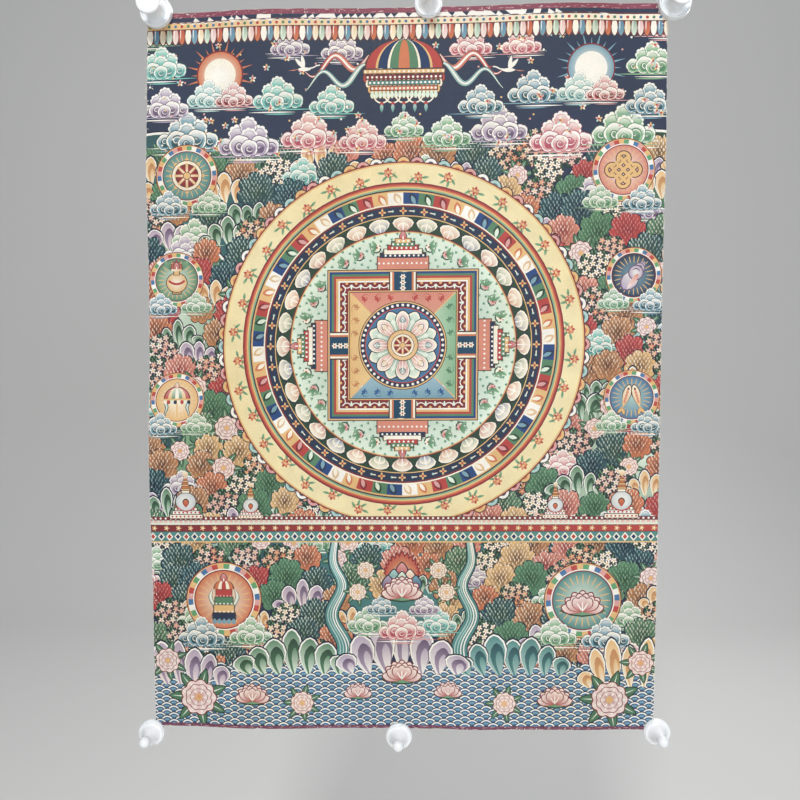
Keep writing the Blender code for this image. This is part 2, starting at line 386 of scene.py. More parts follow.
def stamp(unit, x, z, length, width, turn, first, last=None, radial=False):
    """Copies of a unit outline, scaled along and across, turned, then moved."""
    x, z, length, width, turn = np.broadcast_arrays(*np.atleast_1d(x, z, length, width, turn))
    cos, sin = np.cos(turn)[:, None], np.sin(turn)[:, None]
    along = unit[:, 0] * length[:, None]
    across = unit[:, 1] * width[:, None]
    outlines = np.stack([x[:, None] + along * cos - across * sin,
                         z[:, None] + along * sin + across * cos], axis=-1)
    axis = np.concatenate([cos, sin], axis=1) / length[:, None]
    lay(outlines, first, last, np.stack([x, z], axis=-1).astype(float), axis, radial)


def brush(path, width, first, last=None):
    """Strokes along paths: each side lies half a width from the path, on its normal."""
    path = np.asarray(path, float)
    if path.ndim == 2:
        path = path[None]
    step = np.gradient(path, axis=1)
    step /= np.linalg.norm(step, axis=-1, keepdims=True) + 1e-9
    side = np.stack([-step[..., 1], step[..., 0]], axis=-1)
    half = np.broadcast_to(np.asarray(width, float) / 2, path.shape[:2])[..., None]
    outlines = np.concatenate([path - side * half, (path + side * half)[:, ::-1]], axis=1)
    start, run = path[:, 0], path[:, -1] - path[:, 0]
    axis = run / (np.sum(run * run, axis=-1, keepdims=True) + 1e-9)
    lay(outlines, first, last, start, axis, False)


def motif(x, z, size, rows):
    """Marks of one motif. Columns: outline, place across and up, length, width, turn, colours."""
    for unit, across, up, length, width, turn, *colours in rows:
        stamp(unit, x + across * size, z + up * size, length * size, width * size, turn, *colours)


def taper(count, thin=0.12, peak=0.45):
    """Width along a brush stroke: thin at both ends, full at its peak."""
    share = np.linspace(0, 1, count)
    rise = np.where(share < peak, share / peak, (1 - share) / (1 - peak))
    return thin + (1 - thin) * np.sin(rise * np.pi / 2)


def disc_outline(points):
    """Unit circle."""
    turn = np.arange(points) * TAU / points
    return np.stack([np.cos(turn), np.sin(turn)], axis=-1)


def petal_outline(points, full=0.5, tip=0.8):
    """Leaf along +X from 0 to 1: its width is a sine whose top lies at the share full."""
    share = 0.5 - 0.5 * np.cos(np.pi * np.arange(1, points + 1) / (points + 1))
    power = np.log(0.5) / np.log(full)
    half = 0.5 * np.sin(np.pi * share ** power) ** tip
    lower = np.stack([share, -half], axis=-1)
    upper = np.stack([share, half], axis=-1)[::-1]
    return np.concatenate([[[0, 0]], lower, [[1, 0]], upper])


def lobed_outline(points, lobes, depth, start=0.0):
    """Round form with even lobes: the radius dips by depth between them."""
    turn = np.arange(points) * TAU / points
    radius = 1 - depth * (1 - np.abs(np.cos((turn - start) * lobes / 2)) ** 0.6)
    return np.stack([radius * np.cos(turn), radius * np.sin(turn)], axis=-1)


def spiral_path(x, z, radius, start, turns, count, inner=0.18):
    """Curl that winds in from the radius to its inner share as the angle grows."""
    share = np.linspace(0, 1, count)
    turn = start + turns * TAU * share
    reach = radius * (1 - (1 - inner) * share ** 0.8)
    return np.stack([x + reach * np.cos(turn), z + reach * np.sin(turn)], axis=-1)


def arc_path(x, z, radius, start, end, count):
    """Part of a circle."""
    turn = np.linspace(start, end, count)
    return np.stack([x + radius * np.cos(turn), z + radius * np.sin(turn)], axis=-1)


DISC = disc_outline(18)
SMALL_DISC = disc_outline(9)
BIG_DISC = disc_outline(72)
LEAF_SHAPE = petal_outline(5)
DAB = petal_outline(2)
PETAL = petal_outline(6, full=0.62, tip=0.6)
DROP = petal_outline(6, full=0.35, tip=0.75)
PUFF = lobed_outline(36, 9, 0.16)
SOFT_PUFF = lobed_outline(28, 5, 0.12)
CLUMP = lobed_outline(48, 8, 0.2)
BAR = np.array([[0, -0.5], [1, -0.5], [1, 0.5], [0, 0.5]])
WEDGE = np.array([[0, -0.5], [1, 0], [0, 0.5]])
DIAMOND = np.array([[-1, 0], [0, -1], [1, 0], [0, 1]])


def mixed(first, last, share):
    """Linear colours between two hex codes."""
    share = np.asarray(share, float)[:, None]
    return linear(first) * (1 - share) + linear(last) * share


def cloud(x, z, size, tint, deep, flip=1):
    """Scroll cloud: white scalloped crowns behind a row of tinted curls, with thin tails."""
    tails = np.array([-0.42, -0.56, -0.7, -0.8])
    half = np.array([1.5, 1.8, 1.25, 0.8]) * size
    shift = np.array([0.2, -0.25, 0.3, -0.1]) * size * flip
    share = np.linspace(-1, 1, 7)
    path = np.stack([x + shift[:, None] + half[:, None] * share,
                     z + tails[:, None] * size + 0 * share], axis=-1)
    brush(path, 0.075 * size * taper(7, 0.1, 0.5), [WHITE, tint, WHITE, tint])
    crowns = np.array([[-0.5, 0.42, 0.44], [0.45, 0.4, 0.42], [-0.02, 0.78, 0.42], [0.02, 0.3, 0.42]])
    for dx, dz, reach in crowns * size:
        cx, cz = x + dx * flip, z + dz
        stamp(PUFF, cx, cz, reach, reach, 0.3, deep)
        stamp(PUFF, cx, cz + 0.02 * size, 0.93 * reach, 0.93 * reach, 0.3, WHITE)
        stamp(PUFF, cx, cz - 0.02 * size, 0.8 * reach, 0.78 * reach, UP, tint, WHITE)
        brush(arc_path(cx, cz, 0.62 * reach, UP - 1.6 * flip, UP + 0.9 * flip, 8),
              0.1 * reach * taper(8), tint)
    curls = np.array([[-1.0, -0.12, 0.4], [0.98, -0.14, 0.38], [-0.4, -0.08, 0.5], [0.46, -0.1, 0.48],
                      [0.02, -0.2, 0.4]])
    for number, (dx, dz, reach) in enumerate(curls * size):
        cx, cz = x + dx * flip, z + dz
        way = 1 if number % 2 else -1
        stamp(SOFT_PUFF, cx, cz, 1.05 * reach, reach, 0.6, deep)
        stamp(SOFT_PUFF, cx, cz, 0.97 * reach, 0.92 * reach, 0.6, WHITE)
        stamp(SOFT_PUFF, cx, cz - 0.05 * reach, 0.84 * reach, 0.8 * reach, UP, tint, WHITE)
        stamp(SOFT_PUFF, cx, cz - 0.2 * reach, 0.5 * reach, 0.5 * reach, UP, deep, tint)
        curl = spiral_path(cx, cz, 0.66 * reach, -0.35 * way, 1.15 * way, 16)
        brush(curl, 0.14 * reach * taper(16, 0.2, 0.3), deep)
        curl = spiral_path(cx, cz, 0.5 * reach, 0.1 * way, 1.0 * way, 12)
        brush(curl, 0.09 * reach * taper(12, 0.2, 0.3), WHITE)


def clump(x, z, size, ground, dark, light):
    """Leafy mass: a lobed ground full of small dabs that fan out from its foot."""
    motif(x, z, size, ((CLUMP, 0, 0, 1.04, 1.04, 0.2, NIGHT),
                       (CLUMP, 0, 0, 0.98, 0.98, 0.2, ground, dark, True)))
    pitch = 3.5
    half = int(size / pitch) + 1
    column, row = np.meshgrid(np.arange(-half, half + 1), np.arange(-half, half + 1))
    px = ((column + 0.5 * (row % 2)) * pitch).ravel() + rng.uniform(-0.5, 0.5, column.size)
    pz = (row * pitch * 0.85).ravel() + rng.uniform(-0.5, 0.5, column.size)
    turn = np.arctan2(pz, px)
    reach = 1 - 0.2 * (1 - np.abs(np.cos((turn - 0.2) * 4)) ** 0.6)
    inside = np.hypot(px, pz) < size * reach * 0.93
    px, pz = px[inside], pz[inside]
    order = np.argsort(pz)[::-1]
    px, pz = px[order], pz[order]
    fan = np.arctan2(pz + 1.15 * size, px * 0.8)
    height = np.clip(0.5 + 0.4 * pz / size - 0.25 * px / size + rng.normal(0, 0.16, len(px)), 0, 1)
    stamp(DAB, x + px, z + pz, rng.uniform(2.9, 3.9, len(px)), rng.uniform(1.3, 1.8, len(px)),
          fan, mixed(dark, light, 0.35 * height), mixed(dark, light, height))


def peony(x, z, size, deep, pale, turn=0.0):
    """Open flower: pointed leaves behind three rings of broad petals round a gold heart."""
    around = turn + np.arange(7) * TAU / 7
    stamp(LEAF_SHAPE, x, z, 1.65 * size, 0.62 * size, around + 0.4, DEEP_GREEN)
    stamp(LEAF_SHAPE, x, z, 1.55 * size, 0.5 * size, around + 0.4, DEEP_GREEN, GREEN)
    ribs = np.linspace(0.5, 1.4, 5)[None, :, None] * size
    out = np.stack([np.cos(around + 0.4), np.sin(around + 0.4)], axis=-1)[:, None]
    brush(np.array([x, z]) + out * ribs, 0.06 * size * taper(5), MINT)
    for ring, (count, reach) in enumerate(((9, 1.0), (8, 0.74), (6, 0.48))):
        around = turn + (np.arange(count) + 0.5 * ring) * TAU / count
        wide = 1.15 * reach * size * TAU / count
        stamp(PETAL, x, z, reach * size, wide, around, CRIMSON)
        stamp(PETAL, x, z, 0.95 * reach * size, 0.86 * wide, around, deep, pale)
        stamp(DAB, x + 0.45 * reach * size * np.cos(around), z + 0.45 * reach * size * np.sin(around),
              0.4 * reach * size, 0.16 * wide, around, pale, WHITE)
    stamp(SMALL_DISC, x, z, 0.2 * size, 0.2 * size, 0, ORANGE, GOLD, True)


def sectors(x, z, inner, outer, count, colours):
    """Even blocks of a ring, each the part between two radii over its share of the turn."""
    turn = np.arange(count)[:, None] * TAU / count + np.linspace(0, TAU / count, 5)
    near = np.stack([x + inner * np.cos(turn), z + inner * np.sin(turn)], axis=-1)
    far = np.stack([x + outer * np.cos(turn), z + outer * np.sin(turn)], axis=-1)[:, ::-1]
    outlines = np.concatenate([near, far], axis=1)
    middle = turn[:, 2]
    out = np.stack([np.cos(middle), np.sin(middle)], axis=-1)
    lay(outlines[:, ::-1], colours, None, np.array([x, z]) + out * inner, out / (outer - inner), False)


def around(x, z, radius, count, start=0.0):
    """Even places on a circle, with the outward turn at each."""
    turn = start + np.arange(count) * TAU / count
    return x + radius * np.cos(turn), z + radius * np.sin(turn), turn


FIVE = [WHITE, GOLD, RED, GREEN, "#2b4c84"]
RAINBOW = ["#507cad", WHITE, "#69a578", GOLD, "#c0504b", PINK]


def disc(x, z, radius, first, last=None, big=False):
    """Round spot, its colour running outwards."""
    stamp(BIG_DISC if big else DISC, x, z, radius, radius, 0, first, last, last is not None)


def big_discs(x, z, scale, rows):
    """Wide discs laid one on another. Columns: radius, one or two colours."""
    for reach, *colours in rows:
        disc(x, z, reach * scale, *colours, big=True)


def directions(turn):
    """Unit steps outwards and along at a turn."""
    out = np.array([np.cos(turn), np.sin(turn)])
    return out, np.array([-out[1], out[0]])


def dome(x, z, size, lift, reach, half, first, last=None, points=12):
    """Half round on a level base, as high as its reach and as wide as twice its half."""
    path = arc_path(0, z + lift * size, reach * size, 0, 0.5 * TAU, points)
    path[:, 0] = x + path[:, 0] * half / reach
    lay(path[None], first, last, np.array([[x, z]]), np.array([[0, 1 / size]]), False)


def frill(x, z, radius, length, count, tones_out, pale, start=0.0, share=1.0):
    """Ring of lotus petals: outlined, shaded to a pale tip, with a dark heart."""
    px, pz, turn = around(x, z, radius, count, start)
    wide = share * TAU * (radius + 0.55 * length) / count
    stamp(PETAL, px, pz, length, wide, turn, NIGHT)
    stamp(PETAL, px, pz, 0.96 * length, 0.9 * wide, turn, CREAM)
    stamp(PETAL, px, pz, 0.88 * length, 0.76 * wide, turn, tones_out, pale)
    stamp(PETAL, px, pz, 0.62 * length, 0.5 * wide, turn, pale)
    stamp(PETAL, px, pz, 0.54 * length, 0.4 * wide, turn, tones_out, pale)
    stamp(DAB, px, pz, 0.8 * length, 0.07 * wide, turn, WHITE)


def rosette(x, z, size, petal, heart, count=6, turn=0.0):
    """Small flower of even petals."""
    x, z = np.atleast_1d(x), np.atleast_1d(z)
    spin = turn + np.arange(count) * TAU / count
    px, pz = np.repeat(x, count), np.repeat(z, count)
    stamp(DAB, px, pz, 1.0 * size, 0.62 * size, np.tile(spin, len(x)), petal)
    stamp(SMALL_DISC, x, z, 0.3 * size, 0.3 * size, 0, heart)


def jewel(x, z, size, deep, pale, turn=UP):
    """Pointed gem: dark edge, graded body and a white glint."""
    motif(x, z, size, ((DROP, 0, 0, 1.12, 1.0, turn, NIGHT), (DROP, 0, 0, 1.03, 0.84, turn, deep, pale),
                       (DAB, 0, 0, 0.5, 0.2, turn, WHITE)))


def flames(x, z, size, count=9, spread=2.4):
    """Tongues of fire that fan out behind a gem."""
    turn = UP + np.linspace(-spread / 2, spread / 2, count)
    long = size * (1.5 - 0.5 * np.abs(np.linspace(-1, 1, count)))
    stamp(LEAF_SHAPE, x, z, long, 0.5 * size, turn, CRIMSON)
    stamp(LEAF_SHAPE, x, z, 0.92 * long, 0.38 * size, turn, GOLD, RED)
    stamp(LEAF_SHAPE, x, z, 0.6 * long, 0.2 * size, turn, CREAM, ORANGE)


def lotus(x, z, size):
    """Lotus from the side: back petals, front petals and a low green leaf under them."""
    motif(x, z, size, ((LEAF_SHAPE, -1.25, -0.1, 2.5, 0.7, 0, DEEP_GREEN),
                       (LEAF_SHAPE, -1.15, -0.1, 2.3, 0.52, 0, GREEN, LEAF)))
    for reach, half, count in ((1.15, 1.35, 7), (1.0, 1.0, 6), (0.85, 0.55, 3)):
        turn = UP + np.linspace(-half, half, count)
        turn = turn[np.argsort(-np.abs(turn - UP))]
        motif(x, z, size, ((PETAL, 0, -0.15, 1.06 * reach, 0.62, turn, CRIMSON),
                           (PETAL, 0, -0.15, reach, 0.52, turn, RED, BLUSH),
                           (DAB, 0, -0.15, 0.7 * reach, 0.1, turn, WHITE)))


def ribbon(path, width, deep, mid, pale):
    """Silk scarf along a path: dark edge, body, and a pale fold running along it."""
    count = np.shape(path)[-2]
    swell = taper(count, 0.15, 0.3)
    brush(path, width * swell + 0.8, NIGHT)
    brush(path, width * swell, mid, deep)
    brush(path, 0.35 * width * swell, pale)


def wheel(x, z, size):
    """Wheel: gold rim with eight spokes and outer knobs."""
    kx, kz, turn = around(x, z, size, 8)
    stamp(SMALL_DISC, kx, kz, 0.14 * size, 0.14 * size, 0, GOLD)
    disc(x, z, size, UMBER)
    disc(x, z, 0.95 * size, GOLD, CREAM)
    disc(x, z, 0.76 * size, UMBER)
    disc(x, z, 0.72 * size, RED, CRIMSON)
    stamp(BAR, x, z, 0.8 * size, 0.15 * size, turn, CREAM, GOLD)
    disc(x, z, 0.26 * size, UMBER)
    disc(x, z, 0.22 * size, CREAM, GOLD)


def knot(x, z, size):
    """Endless knot: loops round a diamond lattice, woven by the order of its strands."""
    size = 1.35 * size
    step = 0.42 * size
    for width, colour in ((0.24, UMBER), (0.15, GOLD)):
        for side in (-1, 1):
            for place in (-1, 0, 1):
                middle = np.array([x + 0.5 * place * step * side, z + 0.5 * place * step])
                run = np.array([side, -1]) * 0.9 * step
                brush(np.stack([middle - run, middle + run]), width * size, colour)
        for turn in np.arange(4) * TAU / 4:
            mid = np.array([x + 1.25 * step * np.cos(turn), z + 1.25 * step * np.sin(turn)])
            brush(arc_path(*mid, 0.62 * step, turn - 2.2, turn + 2.2, 12), width * size, colour)


def vase(x, z, size):
    """Treasure vase: foot, round body with a band, neck, jewel on top and leaves."""
    motif(x, z, size, ((LEAF_SHAPE, 0, 0.5, 1.3, 0.4, UP + np.array([-0.8, 0.8]), DEEP_GREEN, LEAF),))
    flames(x, z + 0.75 * size, 0.5 * size, 7)
    jewel(x, z + 0.7 * size, 0.55 * size, RED, PINK)
    motif(x, z, size, ((BAR, -0.35, -0.95, 0.7, 0.22, 0, UMBER), (BAR, -0.28, -0.92, 0.56, 0.12, 0, GOLD),
                       (DISC, 0, -0.2, 0.8, 0.74, 0, UMBER),
                       (DISC, 0, -0.2, 0.74, 0.68, 0, CREAM, GOLD, True)))
    brush(arc_path(x, z + 0.5 * size, 0.8 * size, 0.62 * TAU, 0.88 * TAU, 9), 0.16 * size, RED)
    motif(x, z, size, ((BAR, -0.24, 0.5, 0.48, 0.34, 0, UMBER), (BAR, -0.18, 0.5, 0.36, 0.26, 0, GOLD),
                       (BAR, -0.38, 0.7, 0.76, 0.16, 0, CREAM, GOLD)))


def conch(x, z, size):
    """Shell: whorls that shrink towards the spire, over a spindle with a coral mouth."""
    out = np.array([np.cos(0.9), np.sin(0.9)])
    motif(x, z, size, ((PETAL, 0.45, 0.55, 2.0, 1.24, 0.9 + np.pi, PLUM),
                       (PETAL, 0.42, 0.52, 1.86, 1.08, 0.9 + np.pi, WHITE, LILAC)))
    for along, reach in ((1.1, 0.14), (0.9, 0.27), (0.62, 0.42), (0.25, 0.56)):
        cx, cz = np.array([x, z]) + out * along * size
        stamp(DISC, cx, cz, reach * size, reach * size, 0, PLUM)
        stamp(DISC, cx, cz, 0.86 * reach * size, 0.86 * reach * size, 0, WHITE, LILAC, True)
        brush(arc_path(cx, cz, 0.5 * reach * size, 0.2, 2.6, 8), 0.16 * reach * size * taper(8), PLUM)
    stamp(DROP, x + 0.32 * size, z + 0.1 * size, 1.35 * size, 0.34 * size, 0.95 + np.pi, CORAL, BLUSH)


def parasol(x, z, size):
    """Round canopy: gored dome, fringe of petals, pole and side streamers."""
    stamp(BAR, x, z - 1.1 * size, 1.5 * size, 0.1 * size, UP, GOLD)
    for side in (-1, 1):
        rise = np.linspace(0, 1, 9)
        path = np.stack([x + side * size * (0.8 + 0.07 * np.sin(9 * rise)), z + (0.1 - 1.25 * rise) * size],
                        axis=-1)
        ribbon(path, 0.2 * size, TEAL, AQUA, WHITE)
    dome(x, z, size, 0, 1.0, 1.0, CRIMSON)
    gores = ((0.92, RED, PINK), (0.66, GOLD, CREAM), (0.4, GREEN, MINT), (0.14, CREAM, WHITE))
    for half, deep, pale in gores:
        dome(x, z, size, 0, 0.92, half, deep, pale)
    px = x + np.linspace(-0.86, 0.86, 8) * size
    stamp(PETAL, px, z + 0.08 * size, 0.38 * size, 0.27 * size, -UP, [CREAM, RED, MINT, NAVY])
    stamp(BAR, x - 1.02 * size, z + 0.04 * size, 2.04 * size, 0.12 * size, 0, GOLD)
    jewel(x, z + 0.85 * size, 0.4 * size, ORANGE, CREAM)


def fish_pair(x, z, size):
    """Two fish that face each other, heads up."""
    for side in (-1, 1):
        body = UP + 0.28 * side
        bx, bz = x + 0.62 * side * size, z - 0.75 * size
        stamp(LEAF_SHAPE, bx, bz, -0.55 * size, 0.3 * size, body + np.array([-0.5, 0.5]), UMBER)
        stamp(LEAF_SHAPE, bx, bz, -0.5 * size, 0.22 * size, body + np.array([-0.5, 0.5]), GOLD)
        stamp(PETAL, bx, bz, 1.8 * size, 0.66 * size, body, UMBER)
        stamp(PETAL, bx, bz, 1.72 * size, 0.54 * size, body, GOLD, CREAM)
        reach = np.linspace(0.35, 1.25, 5) * size
        cos, sin = np.cos(body), np.sin(body)
        stamp(DAB, bx + reach * cos, bz + reach * sin, 0.26 * size, 0.22 * size, body, CORAL)
        stamp(SMALL_DISC, bx + 1.45 * size * cos, bz + 1.45 * size * sin, 0.07 * size, 0.07 * size, 0, NIGHT)


def banner(x, z, size):
    """Round victory banner: tiers of silk with fringes under a small dome."""
    for side in (-1, 1):
        rise = np.linspace(0, 1, 9)
        path = np.stack([x + side * size * (0.6 + 0.12 * np.sin(7 * rise)), z + (0.5 - 1.5 * rise) * size],
                        axis=-1)
        ribbon(path, 0.18 * size, GREEN, MINT, WHITE)
    for tier, (colour, pale) in enumerate(((RED, PINK), (GREEN, MINT), (GOLD, CREAM), (NAVY, SKY))):
        low = z + (0.35 - 0.42 * tier) * size
        wide = (0.9 + 0.12 * tier) * size
        stamp(BAR, x - wide / 2, low, wide, 0.44 * size, 0, UMBER)
        stamp(BAR, x - 0.46 * wide, low, 0.92 * wide, 0.36 * size, 0, colour)
        px = x + np.linspace(-0.4, 0.4, 5) * wide
        stamp(PETAL, px, low - 0.1 * size, 0.3 * size, 0.2 * wide, -UP, pale)
    for half, colour in ((0.56, UMBER), (0.5, ORANGE), (0.3, CREAM), (0.12, RED)):
        dome(x, z, size, 0.55, 0.5, half, colour)
    jewel(x, z + 0.95 * size, 0.42 * size, RED, PINK)


def flower_symbol(x, z, size):
    """Lotus as a symbol, lifted to sit in the middle of its roundel."""
    lotus(x, z - 0.45 * size, 0.95 * size)


SYMBOLS = (wheel, knot, vase, conch, parasol, fish_pair, banner, flower_symbol)


def medallion(x, z, radius, symbol, ground, rim):
    """Roundel: rainbow ring, white line, graded ground, faint rays and a symbol."""
    big_discs(x, z, radius, ((1, CRIMSON), (0.975, GOLD)))
    sectors(x, z, 0.8 * radius, 0.95 * radius, 36, RAINBOW)
    big_discs(x, z, radius, ((0.82, WHITE), (0.79, CRIMSON), (0.76, ground, rim)))
    px, pz, turn = around(x, z, 0.42 * radius, 24)
    stamp(DAB, px, pz, 0.3 * radius, 0.035 * radius, turn, GOLD)
    symbol(x, z, 0.5 * radius)


def rocks(x, z, width, height, deep, mid, pale, count=7):
    """Cliff of rounded fingers: tall ones behind, each with a pale edge and inner contours."""
    place = np.linspace(-1, 1, count)
    foot = z - 0.12 * height
    for at in place[np.argsort(np.abs(place))]:
        px = x + at * width / 2
        tall = height * (1 - 0.6 * at * at) * rng.uniform(0.8, 1.1)
        wide = 1.5 * width / count * rng.uniform(0.9, 1.3)
        lean = UP - 0.3 * at
        stamp(PETAL, px, foot, 1.04 * tall + 1, wide + 1.6, lean, NIGHT)
        stamp(PETAL, px, foot, 1.02 * tall, wide, lean, WHITE)
        stamp(PETAL, px, foot, 0.98 * tall, 0.86 * wide, lean, pale, mid)
        stamp(PETAL, px + 0.08 * wide, foot, 0.8 * tall, 0.6 * wide, lean, mid, deep)
        stamp(PETAL, px + 0.14 * wide, foot, 0.6 * tall, 0.3 * wide, lean, pale, mid)


def crane(x, z, size, way):
    """Flying bird: spread wings, long neck and trailing legs."""
    wings, ahead = UP + np.array([0.75, 0.2]) * way, 0 if way > 0 else np.pi
    motif(x, z, size, ((LEAF_SHAPE, 0, 0, 1.1, 0.36, wings, SLATE),
                       (LEAF_SHAPE, 0, 0, 1.0, 0.28, wings, WHITE),
                       (LEAF_SHAPE, -0.5 * way, -0.05, 1.0, 0.3, ahead, WHITE)))
    neck = np.array([[0.3, 0], [0.65, 0.06], [0.9, 0.2], [1.15, 0.24]]) * size * [way, 1] + [x, z]
    brush(neck, 0.09 * size, WHITE)
    stamp(DAB, *neck[-1], 0.3 * size, 0.09 * size, ahead, RED)
    legs = np.array([[-0.4, -0.05], [-0.8, -0.12], [-1.15, -0.14]]) * size * [way, 1] + [x, z]
    brush(legs, 0.07 * size * taper(3), CORAL)


def waves(left, right, low, high, size, deep, mid, pale):
    """Overlapping scales of water, each a dark arch with paler arches inside."""
    scale = ((0, 1, NIGHT), (0.06, 0.93, pale), (0.1, 0.78, deep), (0.14, 0.62, mid), (0.18, 0.42, deep))
    for row in range(int((high - low) / (0.5 * size)) + 3):
        px = np.arange(left + (row % 2) * size, right + size, 2 * size)
        pz = high - row * 0.5 * size
        for drop, reach, colour in scale:
            stamp(DISC, px, pz - drop * size, reach * size, reach * size, 0, colour)


def square(x, z, half, colour, last=None):
    """Upright square."""
    stamp(BAR, x - half, z, 2 * half, 2 * half, 0, colour, last)


def mandala(x, z, size):
    """Palace mandala: fire ring, gem ring, lotus ring, walls with four gates, lotus and wheel."""
    s = size / 165.0
    big_discs(x, z, s, ((165, UMBER), (163.6, GOLD)))
    sectors(x, z, 149 * s, 162 * s, 60, FIVE)
    px, pz, turn = around(x, z, 150 * s, 60, 0.02)
    stamp(LEAF_SHAPE, px, pz, 13 * s, 8 * s, turn + 0.5, ["#e3c29b", ORANGE, CRIMSON, DEEP_GREEN, NAVY])
    stamp(LEAF_SHAPE, px, pz, 10 * s, 4.5 * s, turn + 0.5, [CREAM, CREAM, PINK, MINT, SKY])
    big_discs(x, z, s, ((150, CREAM), (148.6, CRIMSON), (147, NAVY)))
    px, pz, turn = around(x, z, 142.6 * s, 40)
    rosette(px, pz, 4.2 * s, GOLD, RED, 4)
    px, pz, turn = around(x, z, 142.6 * s, 40, TAU / 80)
    stamp(SMALL_DISC, px, pz, 1.3 * s, 1.3 * s, 0, AQUA)
    stamp(DAB, px, pz, 5.5 * s, 1.4 * s, turn + UP, CREAM)
    big_discs(x, z, s, ((138, GOLD), (137, DEEP_GREEN)))
    frill(x, z, 120 * s, 17 * s, 32, [RED, "#356196", ORANGE, GREEN], CREAM)
    big_discs(x, z, s, ((122, CRIMSON), (120.8, GOLD), (119.6, TEAL, MINT)))

    ring, turn = np.repeat(np.arange(84, 118, 5.5), 60), np.tile(np.arange(60) * TAU / 60, 7)
    turn = turn + 0.05 * (ring % 11 > 5)
    px, pz = x + ring * s * np.cos(turn), z + ring * s * np.sin(turn)
    for lean, colour in ((-0.5, LEAF), (0, GREEN), (0.5, TEAL)):
        stamp(DAB, px, pz, 3.6 * s, 1.1 * s, turn + lean, colour)
    for quarter in np.arange(4) * TAU / 4:
        out, along = directions(quarter)
        for side in (-1, 1):
            for far, reach in ((46, 96), (28, 104), (62, 88)):
                spot = np.array([x, z]) + s * (out * reach + along * side * far)
                curl = spiral_path(*spot, 8 * s, quarter + side, side * 1.1, 14)
                brush(curl, 1.6 * s * taper(14), DEEP_GREEN)
                rosette(spot[0], spot[1], 4.6 * s, PINK if far > 30 else CREAM, RED)
                leaves = quarter + side * np.array([0.6, 1.4, 2.3])
                stamp(LEAF_SHAPE, *spot, 9 * s, 3.4 * s, leaves, GREEN, LEAF)
        tiers = ((0, 15, 27, CORAL), (15, 19, 24, NAVY), (19, 23, 20, CREAM), (23, 27, 16, RED),
                 (27, 31, 12, GREEN), (31, 34, 8, GOLD))
        for low, high, half, colour in tiers:
            start = np.array([x, z]) + s * out * (80 + low - 2)
            stamp(BAR, *start, (high - low + 2) * s, (2 * half + 2) * s, quarter, UMBER)
            stamp(BAR, *start, (high - low + 1.2) * s, 2 * half * s, quarter, colour)
            ticks = np.arange(-half + 2.5, half - 1, 5.0)
            spots = start + s * (out * (high - low) * 0.62 + along * ticks[:, None])
            stamp(SMALL_DISC, spots[:, 0], spots[:, 1], 1.15 * s, 1.15 * s, 0, WHITE)
        top = np.array([x, z]) + s * out * 112
        jewel(top[0], top[1], 9 * s, RED, PINK, quarter)

    walls = ((81, UMBER), (80, GOLD), (78.6, "#2b4c84"), (76.2, GREEN), (73.8, RED), (71.4, GOLD),
             (69.0, WHITE), (67.4, CRIMSON))
    for half, colour in walls:
        square(x, z, half * s, colour)
    for quarter in np.arange(4) * TAU / 4:
        out, along = directions(quarter)
        ticks = np.linspace(-60, 60, 13)
        spots = np.array([x, z]) + s * (out * 66.4 + along * ticks[:, None])
        for spot in spots:
            loop = arc_path(*spot, 4.8 * s, quarter + 0.3 * TAU, quarter + 0.7 * TAU, 8)
            brush(loop, 1.0 * s, WHITE)
        stamp(SMALL_DISC, spots[:, 0], spots[:, 1], 1.5 * s, 1.5 * s, 0, GOLD)
        mids = np.array([x, z]) + s * (out * 65.2 + along * (ticks[:-1, None] + 5))
        stamp(DROP, mids[:, 0], mids[:, 1], 5.6 * s, 2.6 * s, quarter + np.pi, MINT)
        start = np.array([x, z]) + s * out * 78
        for deep, wide, colour in ((24, 30, UMBER), (23, 27, CREAM), (22, 23, ORANGE), (21, 19, "#1e4864")):
            stamp(BAR, *start, -deep * s, wide * s, quarter, colour)
        for back in (5, 11, 17):
            spot = start - out * back * s
            rosette(spot[0], spot[1], 3.4 * s, CREAM, RED)
    square(x, z, 58.4 * s, GOLD)
    square(x, z, 57.4 * s, UMBER)
    corner = np.array([[0, 0], [1, -1], [1, 1]])
    turn = np.arange(4) * TAU / 4
    stamp(corner, x, z, 56.6 * s, 56.6 * s, turn, [MINT, "#dcad95", "#f4e5af", "#c7deeb"],
          [LEAF, CORAL, GOLD, SKY])
    for quarter, colour in zip(turn, (GREEN, RED, OCHRE, "#356196")):
        out, along = directions(quarter)
        for side in (-1, 1):
            for far, reach, wide in ((40, 50.5, 5), (26, 50.5, 5), (12, 51.5, 4.5)):
                spot = np.array([x, z]) + s * (out * reach + along * side * far)
                curl = spiral_path(*spot, wide * s, quarter - side, side * 1.25, 14)
                brush(curl, 1.1 * s * taper(14), colour)
                stamp(DAB, *spot, 5 * s, 2 * s, quarter + side * np.array([1.2, 2.0, 2.9]), colour)
    for rise in (56 * s, -56 * s):
        brush(np.array([[x - 56 * s, z - rise], [x + 56 * s, z + rise]]), 1.2 * s, GOLD)

    big_discs(x, z, s, ((47.5, UMBER), (46.7, GOLD), (45.4, NAVY)))
    px, pz, turn = around(x, z, 43 * s, 48)
    stamp(SMALL_DISC, px, pz, 1.5 * s, 1.5 * s, 0, WHITE)
    big_discs(x, z, s, ((40.6, RED), (39.6, LAPIS, AZURE)))
    frill(x, z, 12 * s, 27.5 * s, 8, [GREEN, TEAL], MINT, TAU / 16, share=0.8)
    frill(x, z, 12 * s, 26 * s, 8, [RED, ORANGE], BLUSH, 0, share=0.8)
    px, pz, turn = around(x, z, 24 * s, 8)
    for number in range(8):
        jewel(px[number], pz[number], 7 * s, (TEAL, GOLD)[number % 2], WHITE, turn[number])
    disc(x, z, 17 * s, UMBER)
    disc(x, z, 16.2 * s, CREAM, GOLD)
    wheel(x, z, 12.5 * s)


